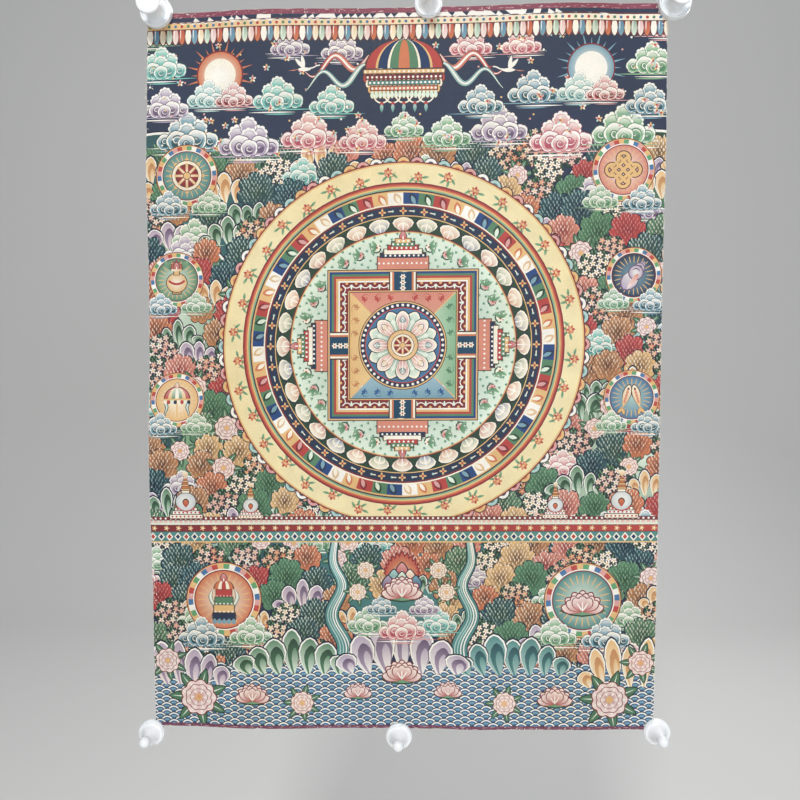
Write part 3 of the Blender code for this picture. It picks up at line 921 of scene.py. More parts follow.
def stupa(x, z, size):
    """White reliquary mound: stepped foot, round dome, gilded ringed spire and sun tip."""
    steps = ((0, 0.22, 0.8, CREAM), (0.22, 0.4, 0.66, WHITE), (0.4, 0.56, 0.54, CREAM))
    for low, high, half, colour in steps:
        middle = (low + high) / 2
        motif(x, z, size, ((BAR, -(half + 0.04), middle, 2 * (half + 0.04), high - low + 0.04, 0, UMBER),
                           (BAR, -half, middle, 2 * half, high - low - 0.04, 0, colour),
                           (SMALL_DISC, np.arange(-half + 0.12, half, 0.2), middle, 0.05, 0.05, 0, RED)))
    motif(x, z, size, ((DISC, 0, 0.85, 0.54, 0.5, 0, UMBER),
                       (DISC, 0, 0.86, 0.49, 0.45, 0, WHITE, "#ced5d8", True),
                       (PETAL, 0, 0.56, 0.46, 0.34, UP, UMBER),
                       (PETAL, 0, 0.56, 0.4, 0.26, UP, RED, ORANGE)))
    brush(arc_path(x, z + 0.9 * size, 0.52 * size, -2.5, -0.64, 9), 0.06 * size, RED)
    motif(x, z, size, ((BAR, -0.22, 1.36, 0.44, 0.16, 0, UMBER), (BAR, -0.18, 1.36, 0.36, 0.1, 0, CREAM)))
    for ring in range(6):
        half = (0.24 - 0.028 * ring) * size
        low = z + (1.48 + 0.1 * ring) * size
        stamp(BAR, x - half, low, 2 * half, 0.1 * size, 0, UMBER)
        stamp(BAR, x - 0.86 * half, low, 1.72 * half, 0.07 * size, 0, (GOLD, ORANGE)[ring % 2])
    motif(x, z, size, ((PETAL, 0, 2.05, 0.34, 0.3, UP, GOLD, CREAM),))


def terrace(left, right, low, height, ground, petal, lattice):
    """Balustrade: a rail of dots, lotus petals, a band of rosettes and a lattice of diamonds."""
    def band(lift, thick, *colours):
        stamp(BAR, left, low + lift * height, right - left, thick * height, 0, *colours)

    band(1 / 2, 1, UMBER)
    band(0.93, 0.1, CRIMSON)
    ticks = np.arange(left + 2.5, right, 5.0)
    stamp(SMALL_DISC, ticks, low + 0.93 * height, 1.1, 1.1, 0, WHITE)
    band(0.77, 0.17, ground)
    stamp(PETAL, ticks, low + 0.69 * height, 0.17 * height, 4.4, UP, CREAM, petal)
    band(0.55, 0.24, CRIMSON, RED)
    flowers = np.arange(left + 6, right, 12.0)
    rosette(flowers, np.full(len(flowers), low + 0.55 * height), 0.11 * height, GOLD, CREAM, 5)
    band(0.22, 0.38, lattice)
    step = 0.32 * height
    spots = np.arange(left + step / 2, right, step)
    stamp(DIAMOND, spots, low + 0.22 * height, 0.17 * height, 0.44 * step, UP, CREAM)
    stamp(DIAMOND, spots, low + 0.22 * height, 0.1 * height, 0.26 * step, UP, (RED, LAPIS))
    band(0.02, 0.05, GOLD)


def hill(x, z, width, height, deep, pale):
    """Soft rounded hill, pale at its crest, with a dark and a white contour."""
    for grow, first, last in ((1.0, NIGHT, None), (0.985, WHITE, None), (0.96, pale, deep)):
        stamp(BIG_DISC, x, z, 0.5 * width * grow, height * grow, 0, first, last, last is not None)


def stream(path, width):
    """Running water: deep edge, pale body and white ripple lines that follow it."""
    path = np.asarray(path, float)
    count = len(path)
    fine = np.linspace(0, count - 1, 6 * count)
    path = np.stack([np.interp(fine, np.arange(count), path[:, k]) for k in (0, 1)], axis=-1)
    kernel = np.hanning(11) / np.hanning(11).sum()
    padded = [np.pad(path[:, k], 5, mode="edge") for k in (0, 1)]
    smooth = np.stack([np.convolve(line, kernel, mode="valid") for line in padded], axis=-1)
    spread = np.linspace(0.5, 1.3, len(smooth)) * width
    brush(smooth, spread + 2, NIGHT)
    brush(smooth, spread, TEAL)
    for shift in (-0.3, -0.1, 0.1, 0.3):
        moved = smooth + np.stack([shift * spread, 0 * spread], axis=-1)
        brush(moved, 0.09 * width, (AQUA, WHITE)[int(shift > 0)])


def blossom(x, z, size, dark, light):
    """Bush of small open flowers over dark leaves."""
    clump(x, z, size, NIGHT, DEEP_GREEN, LEAF)
    count = int(size * 1.1)
    turn = np.arange(count) * 2.4
    reach = size * 0.88 * np.sqrt((np.arange(count) + 0.5) / count)
    order = np.argsort(-(reach * np.sin(turn)))
    px, pz = (x + reach * np.cos(turn))[order], (z + reach * np.sin(turn))[order]
    for k in range(count):
        rosette(px[k] + 0.3, pz[k] - 0.3, 3.6, CRIMSON, CRIMSON, 5, turn[k])
        rosette(px[k], pz[k], 3.3, mixed(dark, light, [rng.uniform(0, 1)])[0], GOLD, 5, turn[k])


def canopy(x, z, size):
    """State canopy: a gored dome with a jewel crest, tiers of fringe, garlands and scarves."""
    for side in (-1, 1):
        for lift, width in ((0.55, 0.16), (0.2, 0.13)):
            run = np.linspace(0, 1, 28)
            path = np.stack([x + side * size * (0.9 + 1.6 * run),
                             z + size * (lift - 0.25 * run + 0.22 * np.sin(9.5 * run + lift * 5))], axis=-1)
            ribbon(path, width * size, (RED, TEAL)[lift < 0.4], (CORAL, AQUA)[lift < 0.4], WHITE)
    flames(x, z + 0.95 * size, 0.4 * size, 11)
    jewel(x, z + 0.95 * size, 0.42 * size, LAPIS, SKY)
    gores = ((1.0, UMBER), (0.96, RED), (0.72, GOLD), (0.66, LAPIS), (0.42, CREAM), (0.36, GREEN),
             (0.14, ORANGE))
    for half, colour in gores:
        dome(x, z, size, 0.3, 0.72, half, colour, points=24)
    for low, half, colour, fringe in ((0.14, 1.04, GOLD, RED), (0.0, 0.98, CRIMSON, CREAM),
                                      (-0.14, 0.92, TEAL, GOLD), (-0.28, 0.86, ORANGE, MINT)):
        ticks = np.linspace(-half + 0.06, half - 0.06, 17)
        motif(x, z, size, ((PETAL, ticks, low + 0.04, 0.24, 0.13, -UP, UMBER),
                           (PETAL, ticks, low + 0.05, 0.22, 0.1, -UP, fringe),
                           (BAR, -half, low + 0.08, 2 * half, 0.13, 0, UMBER),
                           (BAR, -(half - 0.02), low + 0.08, 2 * (half - 0.02), 0.09, 0, colour),
                           (SMALL_DISC, ticks, low + 0.08, 0.03, 0.03, 0, WHITE)))
    for at in np.linspace(-0.7, 0.42, 5) + 0.14:
        brush(arc_path(x + at * size, z - 0.36 * size, 0.2 * size, 0.5 * TAU, TAU, 12), 0.035 * size, CREAM)
        motif(x, z, size, ((SMALL_DISC, at, -0.58, 0.05, 0.05, 0, RED),
                           (DROP, at, -0.6, 0.2, 0.09, -UP, AQUA, TEAL)))


def gem_pile(x, z, size):
    """Heap of gems on a lotus, with fire behind the topmost."""
    flames(x, z + 0.5 * size, 0.9 * size, 13)
    gems = ((0, 0.62, RED, PINK), (-0.36, 0.3, TEAL, AQUA), (0.36, 0.3, ORANGE, CREAM), (0, 0.2, GREEN, MINT),
            (-0.62, 0.02, PLUM, LILAC), (0.62, 0.02, LAPIS, SKY), (-0.22, -0.06, GOLD, CREAM),
            (0.22, -0.06, RED, BLUSH))
    for across, up, deep, pale in gems:
        jewel(x + across * size, z + up * size, 0.62 * size, deep, pale)
    lotus(x, z - 0.2 * size, 0.8 * size)


def pleats(left, right, top, height):
    """Silk valance: a dotted rail over short pleats in five colours, each with a pale fold."""
    step = 6.2
    spots = np.arange(left, right, step)
    stamp(BAR, left, top - 0.5 * height, right - left, height, 0, CRIMSON)
    stamp(PETAL, spots + step / 2, top - 0.1 * height, 1.02 * height, 1.1 * step, -UP, UMBER)
    stamp(PETAL, spots + step / 2, top - 0.1 * height, 0.96 * height, 0.94 * step, -UP,
          [RED, CREAM, AZURE, GOLD, GREEN, PINK], [ORANGE, WHITE, SKY, CREAM, MINT, BLUSH])
    stamp(DAB, spots + step / 2 - 1.2, top - 0.15 * height, 0.7 * height, 0.16 * step, -UP, WHITE)
    stamp(BAR, left, top - 0.2 * height, right - left, 0.36 * height, 0, UMBER)
    stamp(BAR, left, top - 0.2 * height, right - left, 0.28 * height, 0, GOLD, CREAM)
    stamp(SMALL_DISC, spots + step / 2, top - 0.2 * height, 1.5, 1.5, 0, [RED, GREEN, AZURE])


def vine(x, z, radius, swing, waves_round, stem, leaf, pale, flower):
    """Scrolling vine round a circle: a waving stem with a curl, leaves and a flower in each wave."""
    turn = np.linspace(0, TAU, 24 * waves_round + 1)
    reach = radius + swing * np.sin(waves_round * turn)
    path = np.stack([x + reach * np.cos(turn), z + reach * np.sin(turn)], axis=-1)
    brush(path.reshape(-1, 2), 1.3, stem)
    crest = (np.arange(2 * waves_round) + 0.5) * TAU / (2 * waves_round)
    way = np.where(np.arange(2 * waves_round) % 2, -1, 1)
    for place, side in zip(crest, way):
        reach = radius - 0.35 * side * swing
        cx, cz = x + reach * np.cos(place), z + reach * np.sin(place)
        curl = spiral_path(cx, cz, 1.1 * swing, place + side * 0.5 * np.pi, side * 1.05, 18)
        brush(curl, 1.1 * taper(18, 0.3, 0.2), stem)
        spread = place + side * np.array([1.9, 2.7, 3.5, 4.4])
        stamp(LEAF_SHAPE, cx + 0.6 * swing * np.cos(spread), cz + 0.6 * swing * np.sin(spread),
              1.2 * swing, 0.42 * swing, spread + 0.5 * side, leaf, pale)
        rosette(cx, cz, 0.75 * swing, flower, GOLD, 6, place)


def aureole(x, z, inner, outer):
    """Light round the mandala: rainbow lines, a cream ring with a scrolling vine, and puffs of cloud."""
    px, pz, turn = around(x, z, outer - 2, 84)
    stamp(DISC, px, pz, 7.0, 7.0, 0, NIGHT)
    stamp(DISC, px, pz, 6.1, 6.1, 0, [PINK, GOLD, AQUA, WHITE])
    stamp(DISC, px, pz, 3.4, 3.4, 0, [CRIMSON, ORANGE, TEAL, SLATE])
    big_discs(x, z, 1, ((outer, CRIMSON), (outer - 1.2, GOLD), (outer - 2.6, CREAM, "#f4e5b5")))
    vine(x, z, 0.5 * (inner + 8 + outer - 2.6), 0.36 * (outer - inner - 12), 18, OCHRE, GREEN, LEAF,
         [RED, ORANGE, CORAL])
    lines = (CRIMSON, RED, ORANGE, GOLD, LEAF, AZURE, WHITE)
    big_discs(x, z, 1, [(inner + 9 - 1.35 * number, colour) for number, colour in enumerate(lines)])


def scatter(spots, size, petal, heart):
    """Loose flowers and gold dots strewn over a plain ground."""
    spots = np.asarray(spots)
    rosette(spots[::2, 0], spots[::2, 1], size, petal, heart, 5, 0.3)
    stamp(SMALL_DISC, spots[1::2, 0], spots[1::2, 1], 0.28 * size, 0.28 * size, 0, [GOLD, WHITE, PINK])


def sun_disc(x, z, size, deep, pale):
    """Sun or moon: a graded disc with rays, on a small cloud."""
    turn = np.arange(24) * TAU / 24
    stamp(WEDGE, x, z, np.where(np.arange(24) % 2, 1.55, 1.3) * size, 0.26 * size, turn, deep)
    big_discs(x, z, size, ((1.04, CRIMSON), (0.98, pale, deep), (0.7, WHITE, pale)))
    cloud(x - 0.5 * size, z - size, 0.7 * size, AQUA, TEAL)
    cloud(x + 0.6 * size, z - 1.05 * size, 0.62 * size, PINK, CRIMSON, -1)


# ------------------------------------------------------------------ the picture
LEAFY = ((DEEP_GREEN, GREEN, LEAF), (NIGHT, DEEP_TEAL, AQUA), (DEEP_GREEN, DEEP_TEAL, MINT),
         (DEEP_GREEN, GREEN, CREAM))
WARM = ((CRIMSON, RED, PINK), (UMBER, ORANGE, CREAM), (UMBER, OCHRE, CREAM), (CRIMSON, CORAL, WHITE),
        (UMBER, GOLD, WHITE))
TINTS = ((SKY, DEEP_TEAL), (LEAF, GREEN), (LILAC, PLUM), ("#7cc7bd", TEAL), (PINK, "#b5566a"))
BLOOMS = ((PINK, WHITE), (ORANGE, CREAM), (CORAL, BLUSH), (WHITE, CREAM))
STONES = ((DEEP_GREEN, GREEN, MINT), (DEEP_TEAL, TEAL, AQUA), (PLUM, LILAC, BLUSH), (OCHRE, GOLD, CREAM))


def field():
    """Night-blue field with soft hills at the sides and the garden's green low down."""
    stamp(BAR, -260, 0, 520, 720, 0, NAVY)
    hills = ((-235, 150, 190, 90, DEEP_TEAL, TEAL), (238, 145, 190, 90, DEEP_GREEN, GREEN),
             (-240, 60, 170, 90, GREEN, MINT), (240, 40, 170, 90, TEAL, AQUA),
             (-230, -60, 190, 90, DEEP_GREEN, LEAF), (235, -70, 190, 90, GREEN, MINT),
             (-120, -150, 230, 70, TEAL, MINT), (130, -155, 230, 70, GREEN, MINT),
             (0, -190, 330, 70, DEEP_TEAL, TEAL))
    for x, z, width, height, deep, pale in hills:
        hill(x, z, width, height, deep, pale)


def planted():
    """Bushes, flowers, rocks and clouds in rows from the far hills to the near bank."""
    for row, z in enumerate(np.arange(215, -300, -19.0)):
        for x in np.arange(-262 + 15 * (row % 2), 268, 30.0):
            px, pz = x + rng.uniform(-5, 5), z + rng.uniform(-4, 4)
            pick = rng.uniform()
            if np.hypot(px, pz - 30) < 158 or (z < -205 and abs(px) < 40):
                continue
            size = rng.uniform(15, 21)
            if pick < 0.23:
                clump(px, pz, size, *LEAFY[rng.integers(4)])
            elif pick < 0.53:
                clump(px, pz, 0.9 * size, *WARM[rng.integers(5)])
            elif pick < 0.71:
                blossom(px, pz, 0.9 * size, *BLOOMS[rng.integers(4)])
            elif pick < 0.84:
                rocks(px, pz - 8, 2.2 * size, 1.5 * size, *STONES[rng.integers(4)], count=5)
            elif pick < 0.92:
                cloud(px, pz, 0.8 * size, *TINTS[rng.integers(5)])
            else:
                peony(px, pz, 0.6 * size, (RED, ORANGE, ROSE)[rng.integers(3)], BLUSH, turn=pick * 9)


field()
planted()
# Columns: place across and up in mm from the middle of the sheet, size.
sky = ((-210, 232, 22), (-150, 226, 22), (-92, 232, 20), (92, 236, 20), (150, 226, 22), (210, 232, 22),
       (-40, 228, 17), (42, 230, 17), (-236, 300, 18), (236, 296, 18), (-122, 268, 18), (124, 270, 18),
       (-70, 262, 16), (74, 260, 16), (-232, 262, 17), (234, 258, 17), (-60, 312, 15), (64, 314, 15),
       (-110, 316, 14), (112, 314, 14), (-246, 330, 15), (246, 330, 15), (0, 238, 14))
for number, (x, z, size) in enumerate(sky):
    cloud(x, z, size, *TINTS[(2 * number + number // 3) % 5], 1 if number % 2 else -1)
spots = np.stack([rng.uniform(-248, 248, 150), rng.uniform(215, 332, 150)], axis=-1)
scatter(spots, 3.6, [CREAM, PINK, AQUA, GOLD], RED)
canopy(0, 284, 38)
crane(-96, 296, 13, 1)
crane(100, 292, 13, -1)
sun_disc(-178, 292, 22, ORANGE, CREAM)
sun_disc(178, 292, 22, SKY, WHITE)
pleats(-256, 256, 343.5, 20)
aureole(0, 30, 148, 177)
mandala(0, 30, 150)
COURSE = ((66, -160), (70, -185), (56, -208), (74, -238), (54, -268), (64, -300))
for side in (-1, 1):
    stream([(side * at, z) for at, z in COURSE], 13)
waves(-252, 252, -352, -292, 7, "#467099", SKY, WHITE)
terrace(-252, 252, -164, 26, MINT, PINK, TEAL)
for side in (-1, 1):
    stupa(side * 214, -140, 20)
    stupa(side * 150, -140, 15)
places = ((-210, 196, 30), (210, 196, 30), (-222, 96, 27), (222, 96, 27), (-222, -22, 27), (222, -22, 27),
          (-178, -222, 38), (178, -222, 38))
grounds = ((AQUA, TEAL), (BLUSH, CORAL), (MINT, GREEN), (SKY, NAVY), (CREAM, GOLD), (AQUA, AZURE),
           (CREAM, ORANGE), (MINT, TEAL))
for (px, pz, radius), symbol, (inner, outer) in zip(places, SYMBOLS, grounds):
    medallion(px, pz, radius, symbol, inner, outer)
    way = 1 if px > 0 else -1
    cloud(px - way * 0.7 * radius, pz - 0.95 * radius, 0.42 * radius, *TINTS[1], way)
    cloud(px + way * 0.6 * radius, pz - 1.0 * radius, 0.46 * radius, *TINTS[0], -way)
rocks(-110, -292, 90, 44, DEEP_GREEN, GREEN, MINT)
rocks(110, -292, 90, 44, DEEP_TEAL, TEAL, AQUA)
rocks(-225, -304, 80, 50, PLUM, LILAC, BLUSH)
rocks(225, -304, 80, 50, OCHRE, GOLD, CREAM)
rocks(0, -290, 104, 56, PLUM, LILAC, WHITE, count=7)
for x, z, size, tint in ((-34, -246, 15, 1), (34, -246, 15, 3), (0, -252, 17, 4), (-20, -230, 11, 0),
                         (22, -230, 11, 2)):
    cloud(x, z, size, *TINTS[tint], 1 if x < 0 else -1)
for x, z in ((-44, -214), (44, -214), (-36, -192), (36, -192)):
    peony(x, z, 9, ORANGE, CREAM)
gem_pile(0, -212, 22)
for x, z, size in ((0, -300, 17), (-44, -318, 12), (46, -316, 12), (-150, -322, 15), (152, -324, 15)):
    lotus(x, z, size)
for x, z, size, deep in ((-205, -322, 19, RED), (206, -322, 19, ROSE), (-100, -326, 12, ORANGE),
                         (102, -326, 12, ORANGE), (-236, -285, 13, ROSE), (236, -285, 13, RED)):
    peony(x, z, size, deep, BLUSH)

# Border: a red line along the top and the bottom edge, scuffed pale, and flecks of bare primer.
stamp(BAR, -260, 352, 520, 9.4, 0, "#8d4a5d")
stamp(BAR, -260, -352, 520, 6.2, 0, "#7a4a60")
for low, high, step, scuffs in ((347.7, 352.3, 3.2, ["#c39aa0", "#ab6a7b", "#e0c5c2", "#6f3346"]),
                                (-352.3, -349.4, 2.4, ["#bd929f", "#d3b2b8", "#583044", "#9d6478"])):
    px = np.arange(-250, 250, step)
    count = len(px)
    px = px + rng.uniform(-1, 1, count)
    stamp(DAB, px, rng.uniform(low, high, count), rng.uniform(1, 7, count), rng.uniform(0.3, 0.9, count),
          rng.normal(0, 0.12, count), scuffs)
# Columns: from and to across, from and to up, number of flecks; mm from the middle.
WORN = ((-250, -243, 262, 312, 26), (-250, -246, -225, -180, 16), (-222, -206, -222, -180, 10),
        (244, 250, 318, 336, 12), (245, 250, -245, -160, 30), (-250, -247.5, -340, 340, 60),
        (248, 250, -340, 340, 50), (-240, 240, 347, 352, 40), (-240, 240, -352, -349.5, 40))
for left, right, low, high, count in WORN:
    px, pz = rng.uniform(left, right, count), rng.uniform(low, high, count)
    stamp(DAB, px, pz, rng.uniform(0.8, 3.2, count), rng.uniform(0.3, 1.0, count),
          rng.uniform(0, TAU, count), ["#f6efe0", "#daccbd", "#fafaf5"])


def paint_edge(edge, place):
    """Where the paint ends in mm inside the true edge: a hair short of the cut, more in worn places."""
    seed = ("left", "right", "bottom", "top").index(edge) + 71
    worn = np.maximum(wander(place, seed, 12, 3.0), 0) * (0.9 if edge in ("left", "right") else 0.5)
    return cut_inset(edge, place) + 0.12 + worn


def strip_outline(low, high):
    """Corners of a strip of paint, anticlockwise, with the worn edges where it meets them."""
    x = np.linspace(-WIDE / 2, WIDE / 2, 168)
    z = np.linspace(low, high, 47)
    bottom = low + (paint_edge("bottom", x) if low <= -TALL / 2 else 0 * x)
    top = high - (paint_edge("top", x) if high >= TALL / 2 else 0 * x)
    left, right = -WIDE / 2 + paint_edge("left", z), WIDE / 2 - paint_edge("right", z)
    bottom_side = np.stack([np.clip(x, left[0], right[0]), bottom], axis=-1)
    top_side = np.stack([np.clip(x, left[-1], right[-1]), top], axis=-1)
    right_side = np.stack([right, np.clip(z, bottom[-1], top[-1])], axis=-1)
    left_side = np.stack([left, np.clip(z, bottom[0], top[0])], axis=-1)
    loop = np.concatenate([bottom_side, right_side, top_side[::-1], left_side[::-1]])
    step = np.linalg.norm(loop - np.roll(loop, 1, axis=0), axis=1)
    return loop[step > 1e-6]


def marks_in(low, high):
    """All brush marks that reach a strip, turned anticlockwise: points, corner counts, colours."""
    gathered = []
    for outlines, first, last, origin, axis, radial in laid:
        lowest, highest = outlines.min(axis=1), outlines.max(axis=1)
        keep = (highest[:, 1] > low) & (lowest[:, 1] < high)
        keep &= (highest[:, 0] > -WIDE / 2) & (lowest[:, 0] < WIDE / 2)
        chosen = outlines[keep]
        following = np.roll(chosen, -1, axis=1)
        area = np.sum(chosen[..., 0] * following[..., 1] - following[..., 0] * chosen[..., 1], axis=1)
        chosen[area < 0] = chosen[area < 0][:, ::-1]
        count, corners = chosen.shape[:2]
        origin = np.broadcast_to(origin, (len(outlines), 2))[keep]
        axis = np.broadcast_to(axis, (len(outlines), 2))[keep]
        gathered.append((chosen.reshape(-1, 2), np.full(count, corners), first[keep], last[keep], origin,
                         axis, radial[keep]))
    return [np.concatenate(column) for column in zip(*gathered)]


def triangulate(points, edges, faces):
    """Delaunay triangles that keep every given edge, with the given faces that cover each."""
    made = delaunay_2d_cdt([Vector(pair) for pair in points.tolist()], edges, faces, 0, 1e-5, True)
    return np.array([tuple(point) for point in made[0]]), np.array(made[2]), made[5]


def last_on_top(cover):
    """Highest face number over each triangle, and whether the strip's own face 0 is under it."""
    sizes = np.fromiter((len(numbers) for numbers in cover), int, len(cover))
    flat = np.fromiter(itertools.chain.from_iterable(cover), int, sizes.sum())
    owner = np.repeat(np.arange(len(cover)), sizes)
    top = np.zeros(len(cover), int)
    np.maximum.at(top, owner, flat)
    inside = np.zeros(len(cover), bool)
    inside[owner[flat == 0]] = True
    return top, inside


def colour_borders(triangles, top, count):
    """Edges between triangles of different marks, and the strip's outer edges."""
    ends = np.concatenate([triangles[:, [0, 1]], triangles[:, [1, 2]], triangles[:, [2, 0]]])
    ends = np.sort(ends, axis=1)
    owner = np.tile(np.arange(len(triangles)), 3)
    key = ends[:, 0] * count + ends[:, 1]
    order = np.argsort(key, kind="stable")
    key, owner, ends = key[order], owner[order], ends[order]
    paired = np.append(key[1:] == key[:-1], False)
    second = np.append(False, paired[:-1])
    here = np.flatnonzero(paired)
    differs = top[owner[here]] != top[owner[here + 1]]
    return np.concatenate([ends[here[differs]], ends[~paired & ~second]])


LONGEST = 7.0  # mm, an edge of the paint skin, short enough to follow the bulges


def straighten(points, edges, slack=0.015):
    """Drop points that lie within the slack of the line between their two neighbours.

    No two neighbours go in one round, and no edge grows past the longest.
    """
    source = np.random.default_rng(3)
    for _ in range(5):
        count = np.bincount(edges.ravel(), minlength=len(points))
        both = np.concatenate([edges, edges[:, ::-1]])
        both = both[np.argsort(both[:, 0], kind="stable")]
        start = np.searchsorted(both[:, 0], np.arange(len(points)))
        lone = np.flatnonzero(count == 2)
        one, other = both[start[lone], 1], both[start[lone] + 1, 1]
        run, off = points[other] - points[one], points[lone] - points[one]
        length = np.linalg.norm(run, axis=1)
        away = np.abs(run[:, 0] * off[:, 1] - run[:, 1] * off[:, 0]) / (length + 1e-9)
        fit = (away < slack) & (length < LONGEST) & (length > 1e-6)
        lone, one, other = lone[fit], one[fit], other[fit]
        rank = np.zeros(len(points))
        rank[lone] = source.uniform(0.1, 1, len(lone))
        goes = (rank[lone] > rank[one]) & (rank[lone] > rank[other])
        lone, one, other = lone[goes], one[goes], other[goes]
        if len(lone) == 0:
            break
        gone = np.zeros(len(points), bool)
        gone[lone] = True
        kept = edges[~(gone[edges[:, 0]] | gone[edges[:, 1]])]
        edges = np.unique(np.sort(np.concatenate([kept, np.stack([one, other], axis=-1)]), axis=1), axis=0)
    return edges


def divide(points, edges):
    """Split edges into equal parts no longer than the longest."""
    length = np.linalg.norm(points[edges[:, 1]] - points[edges[:, 0]], axis=1)
    parts = np.maximum(np.ceil(length / LONGEST).astype(int), 1)
    owner = np.repeat(np.arange(len(edges)), parts - 1)
    step = np.arange(len(owner)) - np.repeat(np.cumsum(parts - 1) - (parts - 1), parts - 1) + 1
    share = (step / parts[owner])[:, None]
    added = points[edges[owner, 0]] * (1 - share) + points[edges[owner, 1]] * share
    number = len(points) + np.arange(len(owner))
    edge_of = np.concatenate([np.arange(len(edges)), owner])
    along = np.concatenate([np.zeros(len(edges)), share[:, 0]])
    order = np.argsort(edge_of + along * 0.999, kind="stable")
    starts, edge_of = np.concatenate([edges[:, 0], number])[order], edge_of[order]
    goes_on = np.append(edge_of[1:] == edge_of[:-1], False)
    ends = np.where(goes_on, np.append(starts[1:], 0), edges[edge_of, 1])
    return np.concatenate([points, added]), np.stack([starts, ends], axis=-1)


def paint_strip(low, high):
    """Points in mm, triangles and corner colours of one strip.

    The marks are first cut against each other, which tells the topmost one everywhere. Only
    the borders between colours are kept, straightened, and cut again with a grid of points
    between them. Each new triangle takes the mark that its middle lies on.
    """
    marks, corners, first, last, origin, axis, radial = marks_in(low, high)
    loop = strip_outline(low, high)
    starts = len(loop) + np.cumsum(corners) - corners
    faces = [list(range(len(loop)))]
    faces += [list(range(start, start + size)) for start, size in zip(starts.tolist(), corners.tolist())]
    points, triangles, cover = triangulate(np.concatenate([loop, marks]), [], faces)
    top, inside = last_on_top(cover)
    triangles, top = triangles[inside], top[inside]
    tree_2d = BVHTree.FromPolygons(np.pad(points, ((0, 0), (0, 1))).tolist(), triangles.tolist())
    edges = straighten(points, colour_borders(triangles, top, len(points)))
    points, edges = divide(points, edges)
    used, edges = np.unique(edges, return_inverse=True)
    points, edges = points[used], edges.reshape(-1, 2)
    grid = np.meshgrid(np.arange((LONGEST - WIDE) / 2, WIDE / 2 - 2, LONGEST),
                       np.arange(low + LONGEST / 2, high - 3, LONGEST))
    points = np.concatenate([points, np.stack(grid, axis=-1).reshape(-1, 2)])
    points, triangles, _ = triangulate(points, edges.tolist(), [])
    middle = np.pad(points[triangles].mean(axis=1), ((0, 0), (0, 1)))
    found = [tree_2d.find_nearest(place, 0.05) for place in middle.tolist()]
    number = np.array([hit[2] if hit[2] is not None and hit[3] < 1e-3 else -1 for hit in found])
    triangles, number = triangles[number >= 0], number[number >= 0]
    mark = top[number] - 1
    place = points[triangles]
    off = place - origin[mark][:, None]
    straight = np.sum(off * axis[mark][:, None], axis=-1)
    outward = np.linalg.norm(off, axis=-1) * np.linalg.norm(axis[mark], axis=-1)[:, None]
    share = np.clip(np.where(radial[mark][:, None], outward, straight), 0, 1)[..., None]
    colours = first[mark][:, None] * (1 - share) + last[mark][:, None] * share
    colours[mark < 0] = linear(NAVY)
    return points, triangles, colours


# The paint's own look: ground minerals leave an uneven matt skin, so its value drifts in soft
# clouds, its grains sparkle dark and light, the canvas prints through and the glue dries warm.
paint, tree, shader = new_material("mineral_paint_in_glue", Roughness=0.6, Specular_IOR_Level=0.35)
pigment = add_node(tree, "Attribute", {"attribute_name": "pigment"})
space = add_node(tree, "TexCoord")
clouds = add_node(tree, "TexNoise", {}, {"Vector": space.outputs["Object"]},
                  {"Scale": 38.0, "Detail": 6.0, "Roughness": 0.6})
grain = add_node(tree, "TexNoise", {}, {"Vector": space.outputs["Object"]},
                 {"Scale": 850.0, "Detail": 3.0, "Roughness": 0.6})
drift = add_node(tree, "MapRange", {}, {"Value": clouds.outputs["Fac"]},
                 {"From Min": 0.3, "From Max": 0.7, "To Min": 0.82, "To Max": 0.96})
specks = add_node(tree, "MapRange", {}, {"Value": grain.outputs["Fac"]},
                  {"From Min": 0.3, "From Max": 0.7, "To Min": 0.93, "To Max": 1.06})
value = add_node(tree, "Math", {"operation": "MULTIPLY"}, {0: drift.outputs[0], 1: specks.outputs[0]})
uneven = add_node(tree, "VectorMath", {"operation": "SCALE"},
                  {0: pigment.outputs["Color"], "Scale": value.outputs[0]})
age = add_node(tree, "TexNoise", {}, {"Vector": space.outputs["Object"]},
               {"Scale": 9.0, "Detail": 3.0, "Roughness": 0.5})
glue = add_node(tree, "MapRange", {}, {"Value": age.outputs["Fac"]},
                {"From Min": 0.35, "From Max": 0.7, "To Min": 0.1, "To Max": 0.8})
aged = add_node(tree, "Mix", {"data_type": "RGBA", "blend_type": "MULTIPLY"},
                {0: glue.outputs[0], 6: uneven.outputs[0]}, {7: (*linear("#f8f0e2"), 1)})
tree.links.new(aged.outputs[2], shader.inputs["Base Color"])
gloss = add_node(tree, "MapRange", {}, {"Value": grain.outputs["Fac"]},
                 {"From Min": 0.3, "From Max": 0.7, "To Min": 0.48, "To Max": 0.72})
tree.links.new(gloss.outputs[0], shader.inputs["Roughness"])
# The canvas's weave prints through the paint.
weave = plain_weave(tree, space)
body = add_node(tree, "Math", {"operation": "MULTIPLY_ADD"},
                {0: grain.outputs["Fac"], 2: weave.outputs[0]}, {1: 0.9})
relief = add_node(tree, "Bump", {}, {"Height": body.outputs[0]}, {"Strength": 0.28, "Distance": 0.15 * MM})
tree.links.new(relief.outputs["Normal"], shader.inputs["Normal"])

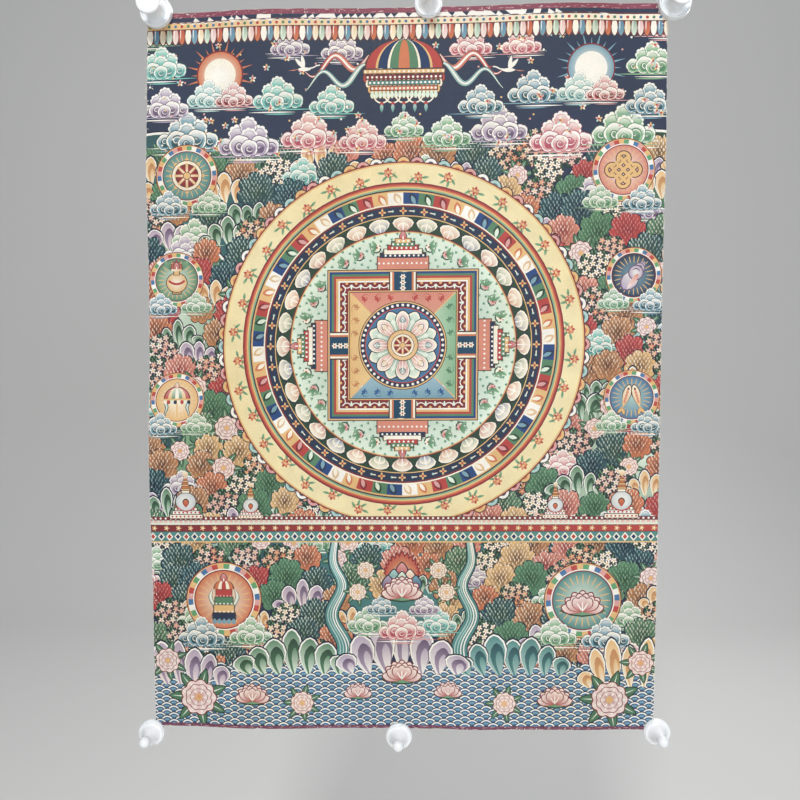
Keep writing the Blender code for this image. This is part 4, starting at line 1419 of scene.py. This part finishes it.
STRIP_EDGES = (-TALL / 2, -222.0, -96.0, 40.0, 190.0, TALL / 2)
PAINT_OUT = 0.2 * MM
strips = []
for low, high in zip(STRIP_EDGES[:-1], STRIP_EDGES[1:]):
    points, triangles, colours = paint_strip(low, high)
    places = on_sheet(points[:, 0] / WIDE + 0.5, points[:, 1] / TALL + 0.5, SHEET_THICKNESS + PAINT_OUT)
    strip = mesh_object(f"painting_{len(strips) + 1}", places, triangles, paint)
    tint = strip.data.color_attributes.new("pigment", "FLOAT_COLOR", "CORNER")
    opaque = np.pad(colours, ((0, 0), (0, 0), (0, 1)), constant_values=1)
    tint.data.foreach_set("color", opaque.astype(np.float32).ravel())
    # The strip fills its own square of the map, less a margin of a hundredth.
    flat = (points[triangles] - [-WIDE / 2, low]) / [WIDE, high - low] * 0.98 + 0.01
    bake_map = strip.data.uv_layers.new(name="OFBake")
    bake_map.data.foreach_set("uv", flat.astype(np.float32).ravel())
    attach(strip, "root")
    strips.append(strip)
    print("painting strip", low, high, "triangles", len(triangles), flush=True)


# ---------------------------------------------------------------- frayed threads
# Loose ends of the cotton warp and weft that the scissors left along the raw edges, most at
# the sides. Each is a bent length of a twisted thread, 0.3 mm thick and 1.5 to 5 mm long.
def thread_tubes(paths, radius, sides=5):
    """Closed tubes round many paths: rings across the path, shrunk to nothing at both ends."""
    count, steps = paths.shape[:2]
    along = np.gradient(paths, axis=1)
    along /= np.linalg.norm(along, axis=-1, keepdims=True)
    upward = np.cross(along, [0.0, 1.0, 0.02])
    upward /= np.linalg.norm(upward, axis=-1, keepdims=True)
    other = np.cross(along, upward)
    turn = np.arange(sides) * TAU / sides
    swell = radius * np.sqrt(np.clip(np.sin(np.linspace(0.02, np.pi - 0.02, steps)), 0, 1))
    ring = upward[:, :, None] * np.cos(turn)[:, None] + other[:, :, None] * np.sin(turn)[:, None]
    points = (paths[:, :, None] + ring * swell[:, None, None]).reshape(-1, 3)
    number = np.arange(count * steps * sides).reshape(count, steps, sides)
    side = np.roll(number, -1, axis=2)
    faces = np.stack([number[:, :-1], side[:, :-1], side[:, 1:], number[:, 1:]], axis=-1).reshape(-1, 4)
    return points, faces


# Columns: edge, from and to in mm along it, number of threads.
FRAYED = (("left", 262, 312, 16), ("left", -225, -180, 14), ("left", -60, 180, 14), ("right", 318, 340, 9),
          ("right", -245, -160, 20), ("right", -120, 220, 14), ("bottom", -150, -138, 5),
          ("bottom", 8, 20, 5), ("top", -200, 200, 10), ("bottom", -230, 230, 12))
source = np.random.default_rng(8)
edge_points = []
for edge, low, high, count in FRAYED:
    place = source.uniform(low, high, count)
    inset = cut_inset(edge, place)
    if edge in ("left", "right"):
        side = -1 if edge == "left" else 1
        start = np.stack([side * (WIDE / 2 - inset), place], axis=-1)
        outward = np.tile([side, 0.0], (count, 1))
    else:
        side = -1 if edge == "bottom" else 1
        start = np.stack([place, side * (TALL / 2 - inset)], axis=-1)
        outward = np.tile([0.0, side], (count, 1))
    edge_points.append((start, outward))
start = np.concatenate([pair[0] for pair in edge_points])
outward = np.concatenate([pair[1] for pair in edge_points])
sideways = np.stack([-outward[:, 1], outward[:, 0]], axis=-1)
share = np.linspace(0, 1, 8)[None, :, None]
length = source.uniform(1.5, 5.0, len(start))[:, None, None]
lean = source.uniform(-1.2, 1.2, len(start))[:, None, None]
run = length * (share * 0.9 - 0.15)
swing = length * lean * share ** 2
flat = start[:, None] + outward[:, None] * np.minimum(run, 1.6 + 0.2 * run) + sideways[:, None] * swing
across, up = flat[..., 0] / WIDE + 0.5, flat[..., 1] / TALL + 0.5
paths = on_sheet(np.clip(across, 0, 1), np.clip(up, 0, 1), SHEET_THICKNESS * 0.6)
paths[..., 0] += (across - np.clip(across, 0, 1)) * SHEET_WIDTH
paths[..., 2] += (up - np.clip(up, 0, 1)) * SHEET_HEIGHT
paths[..., 1] -= source.uniform(-0.4, 0.8, len(start))[:, None] * MM * share[..., 0] ** 2
points, faces = thread_tubes(paths, 0.15 * MM)
cotton, tree, shader = new_material("cotton_thread_twisted", Roughness=0.9)
space = add_node(tree, "TexCoord")
fuzz = add_node(tree, "TexNoise", {}, {"Vector": space.outputs["Object"]}, {"Scale": 900.0, "Detail": 2.0})
tint = add_node(tree, "ValToRGB", {}, {"Fac": fuzz.outputs["Fac"]},
                stops=((0.0, "#cfc4ae"), (1.0, "#f0ebde")))
tree.links.new(tint.outputs["Color"], shader.inputs["Base Color"])
threads = mesh_object("frayed_threads", points, faces, cotton)
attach(threads, "root")


# ---------------------------------------------------------------- knob magnets
# Six glossy white knobs of moulded plastic with a magnet set in the base, pressed on the
# sheet's edges: two large ones with a dished waist in the top corners and four small ones
# with a slim neck. Each is turned about its own axis and seated where its solid is.
def rounded(radius, depth, size, steps):
    """Quarter circle in a profile, from the side of a disc onto its front face."""
    turn = np.linspace(0, TAU / 4, steps)
    return np.stack([radius - size + size * np.cos(turn), depth - size + size * np.sin(turn)], axis=-1)


def hollow(start, end, fullness, steps):
    """Flank between two profile points: the radius runs with a power of the depth's share."""
    share = np.linspace(0, 1, steps)
    return np.stack([start[0] + (end[0] - start[0]) * share ** fullness,
                     start[1] + (end[1] - start[1]) * share], axis=-1)


def soften(profile, rounds=1):
    """Cut every corner of a profile to quarter points, ends kept."""
    for _ in range(rounds):
        near = 0.75 * profile[:-1] + 0.25 * profile[1:]
        far = 0.25 * profile[:-1] + 0.75 * profile[1:]
        profile = np.concatenate([profile[:1], np.stack([near, far], axis=1).reshape(-1, 2), profile[-1:]])
    return profile


def small_profile():
    """Radius and depth in mm of the small knob: stepped disc, hollow cone and round-ended grip."""
    foot = np.concatenate([[(0.01, 0.0), (12.8, 0.0), (13.3, 0.5)], rounded(12.95, 3.5, 0.45, 6)])
    step = np.concatenate([[(12.2, 3.5), (12.1, 3.7)], rounded(12.1, 5.1, 0.7, 6), [(11.15, 5.0)]])
    cone = hollow((10.9, 4.85), (3.9, 16.5), 0.6, 16)
    turn = np.linspace(-math.radians(40), math.radians(90), 18)
    grip = np.stack([5.4 * np.cos(turn), 22.6 + 5.4 * np.sin(turn)], axis=-1)
    return np.concatenate([foot, step, cone, grip])


def large_profile():
    """Radius and depth in mm of the large knob: disc, raised rim, dished waist, wide flat grip."""
    foot = np.concatenate([[(0.01, 0.0), (15.3, 0.0), (15.8, 0.5)], rounded(15.3, 6.0, 0.8, 8)])
    rim = np.array([(14.0, 6.0), (13.65, 5.9), (13.4, 5.5), (13.1, 4.1), (12.8, 3.6), (12.4, 3.45)])
    dish = hollow((12.1, 3.45), (7.6, 13.0), 0.32, 18)
    flare = hollow((7.6, 13.0), (11.6, 23.65), 2.2, 12)[1:]
    lip = rounded(11.6, 27.7, 1.44, 8)
    face = np.array([(8.5, 27.95), (5.8, 28.375), (2.5, 28.6), (0.01, 28.6)])
    return np.concatenate([foot, rim, dish, flare, lip, face])


plastic, tree, shader = new_material("white_plastic_moulded", Roughness=0.2, IOR=1.5)
shader.inputs["Subsurface Weight"].default_value = 0.3
shader.inputs["Subsurface Radius"].default_value = (0.004, 0.004, 0.0035)
shader.inputs["Subsurface Scale"].default_value = 1.0
space = add_node(tree, "TexCoord")
# Handling: a faint grey-yellow film in soft patches, and fine scuffs that dull the gloss.
film = add_node(tree, "TexNoise", {}, {"Vector": space.outputs["Object"]},
                {"Scale": 70.0, "Detail": 4.0, "Roughness": 0.6})
tone = add_node(tree, "ValToRGB", {}, {"Fac": film.outputs["Fac"]},
                stops=((0.3, "#edf1f4"), (0.65, "#f8fafc")))
tree.links.new(tone.outputs["Color"], shader.inputs["Base Color"])
scuff = add_node(tree, "TexNoise", {}, {"Vector": space.outputs["Object"]},
                 {"Scale": 420.0, "Detail": 5.0, "Roughness": 0.7})
dull = add_node(tree, "MapRange", {}, {"Value": scuff.outputs["Fac"]},
                {"From Min": 0.35, "From Max": 0.75, "To Min": 0.14, "To Max": 0.36})
tree.links.new(dull.outputs[0], shader.inputs["Roughness"])
relief = add_node(tree, "Bump", {}, {"Height": scuff.outputs["Fac"]},
                  {"Strength": 0.06, "Distance": 0.1 * MM})
tree.links.new(relief.outputs["Normal"], shader.inputs["Normal"])

SEGMENTS = 80
SEAT = SHEET_THICKNESS + 0.3 * MM
angle = np.arange(SEGMENTS) * TAU / SEGMENTS
for name, centre_x, centre_z, size in MAGNETS:
    profile = soften(large_profile() if size == "large" else small_profile())
    radius, depth = profile.T[:, :, None] * MM
    points = np.stack([centre_x * MM + radius * np.cos(angle), -SEAT - depth + 0 * angle,
                       centre_z * MM - SHEET_TOP + radius * np.sin(angle)], axis=-1).reshape(-1, 3)
    number = np.arange(len(profile) * SEGMENTS).reshape(len(profile), SEGMENTS)
    side = np.roll(number, -1, axis=1)
    faces = np.stack([number[:-1], number[1:], side[1:], side[:-1]], axis=-1).reshape(-1, 4)
    knob = mesh_object(name.replace("magnet", "knob_magnet"), points, faces, plastic)
    knob.data.set_sharp_from_angle(angle=math.radians(50))
    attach(knob, "root")
    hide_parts(name)
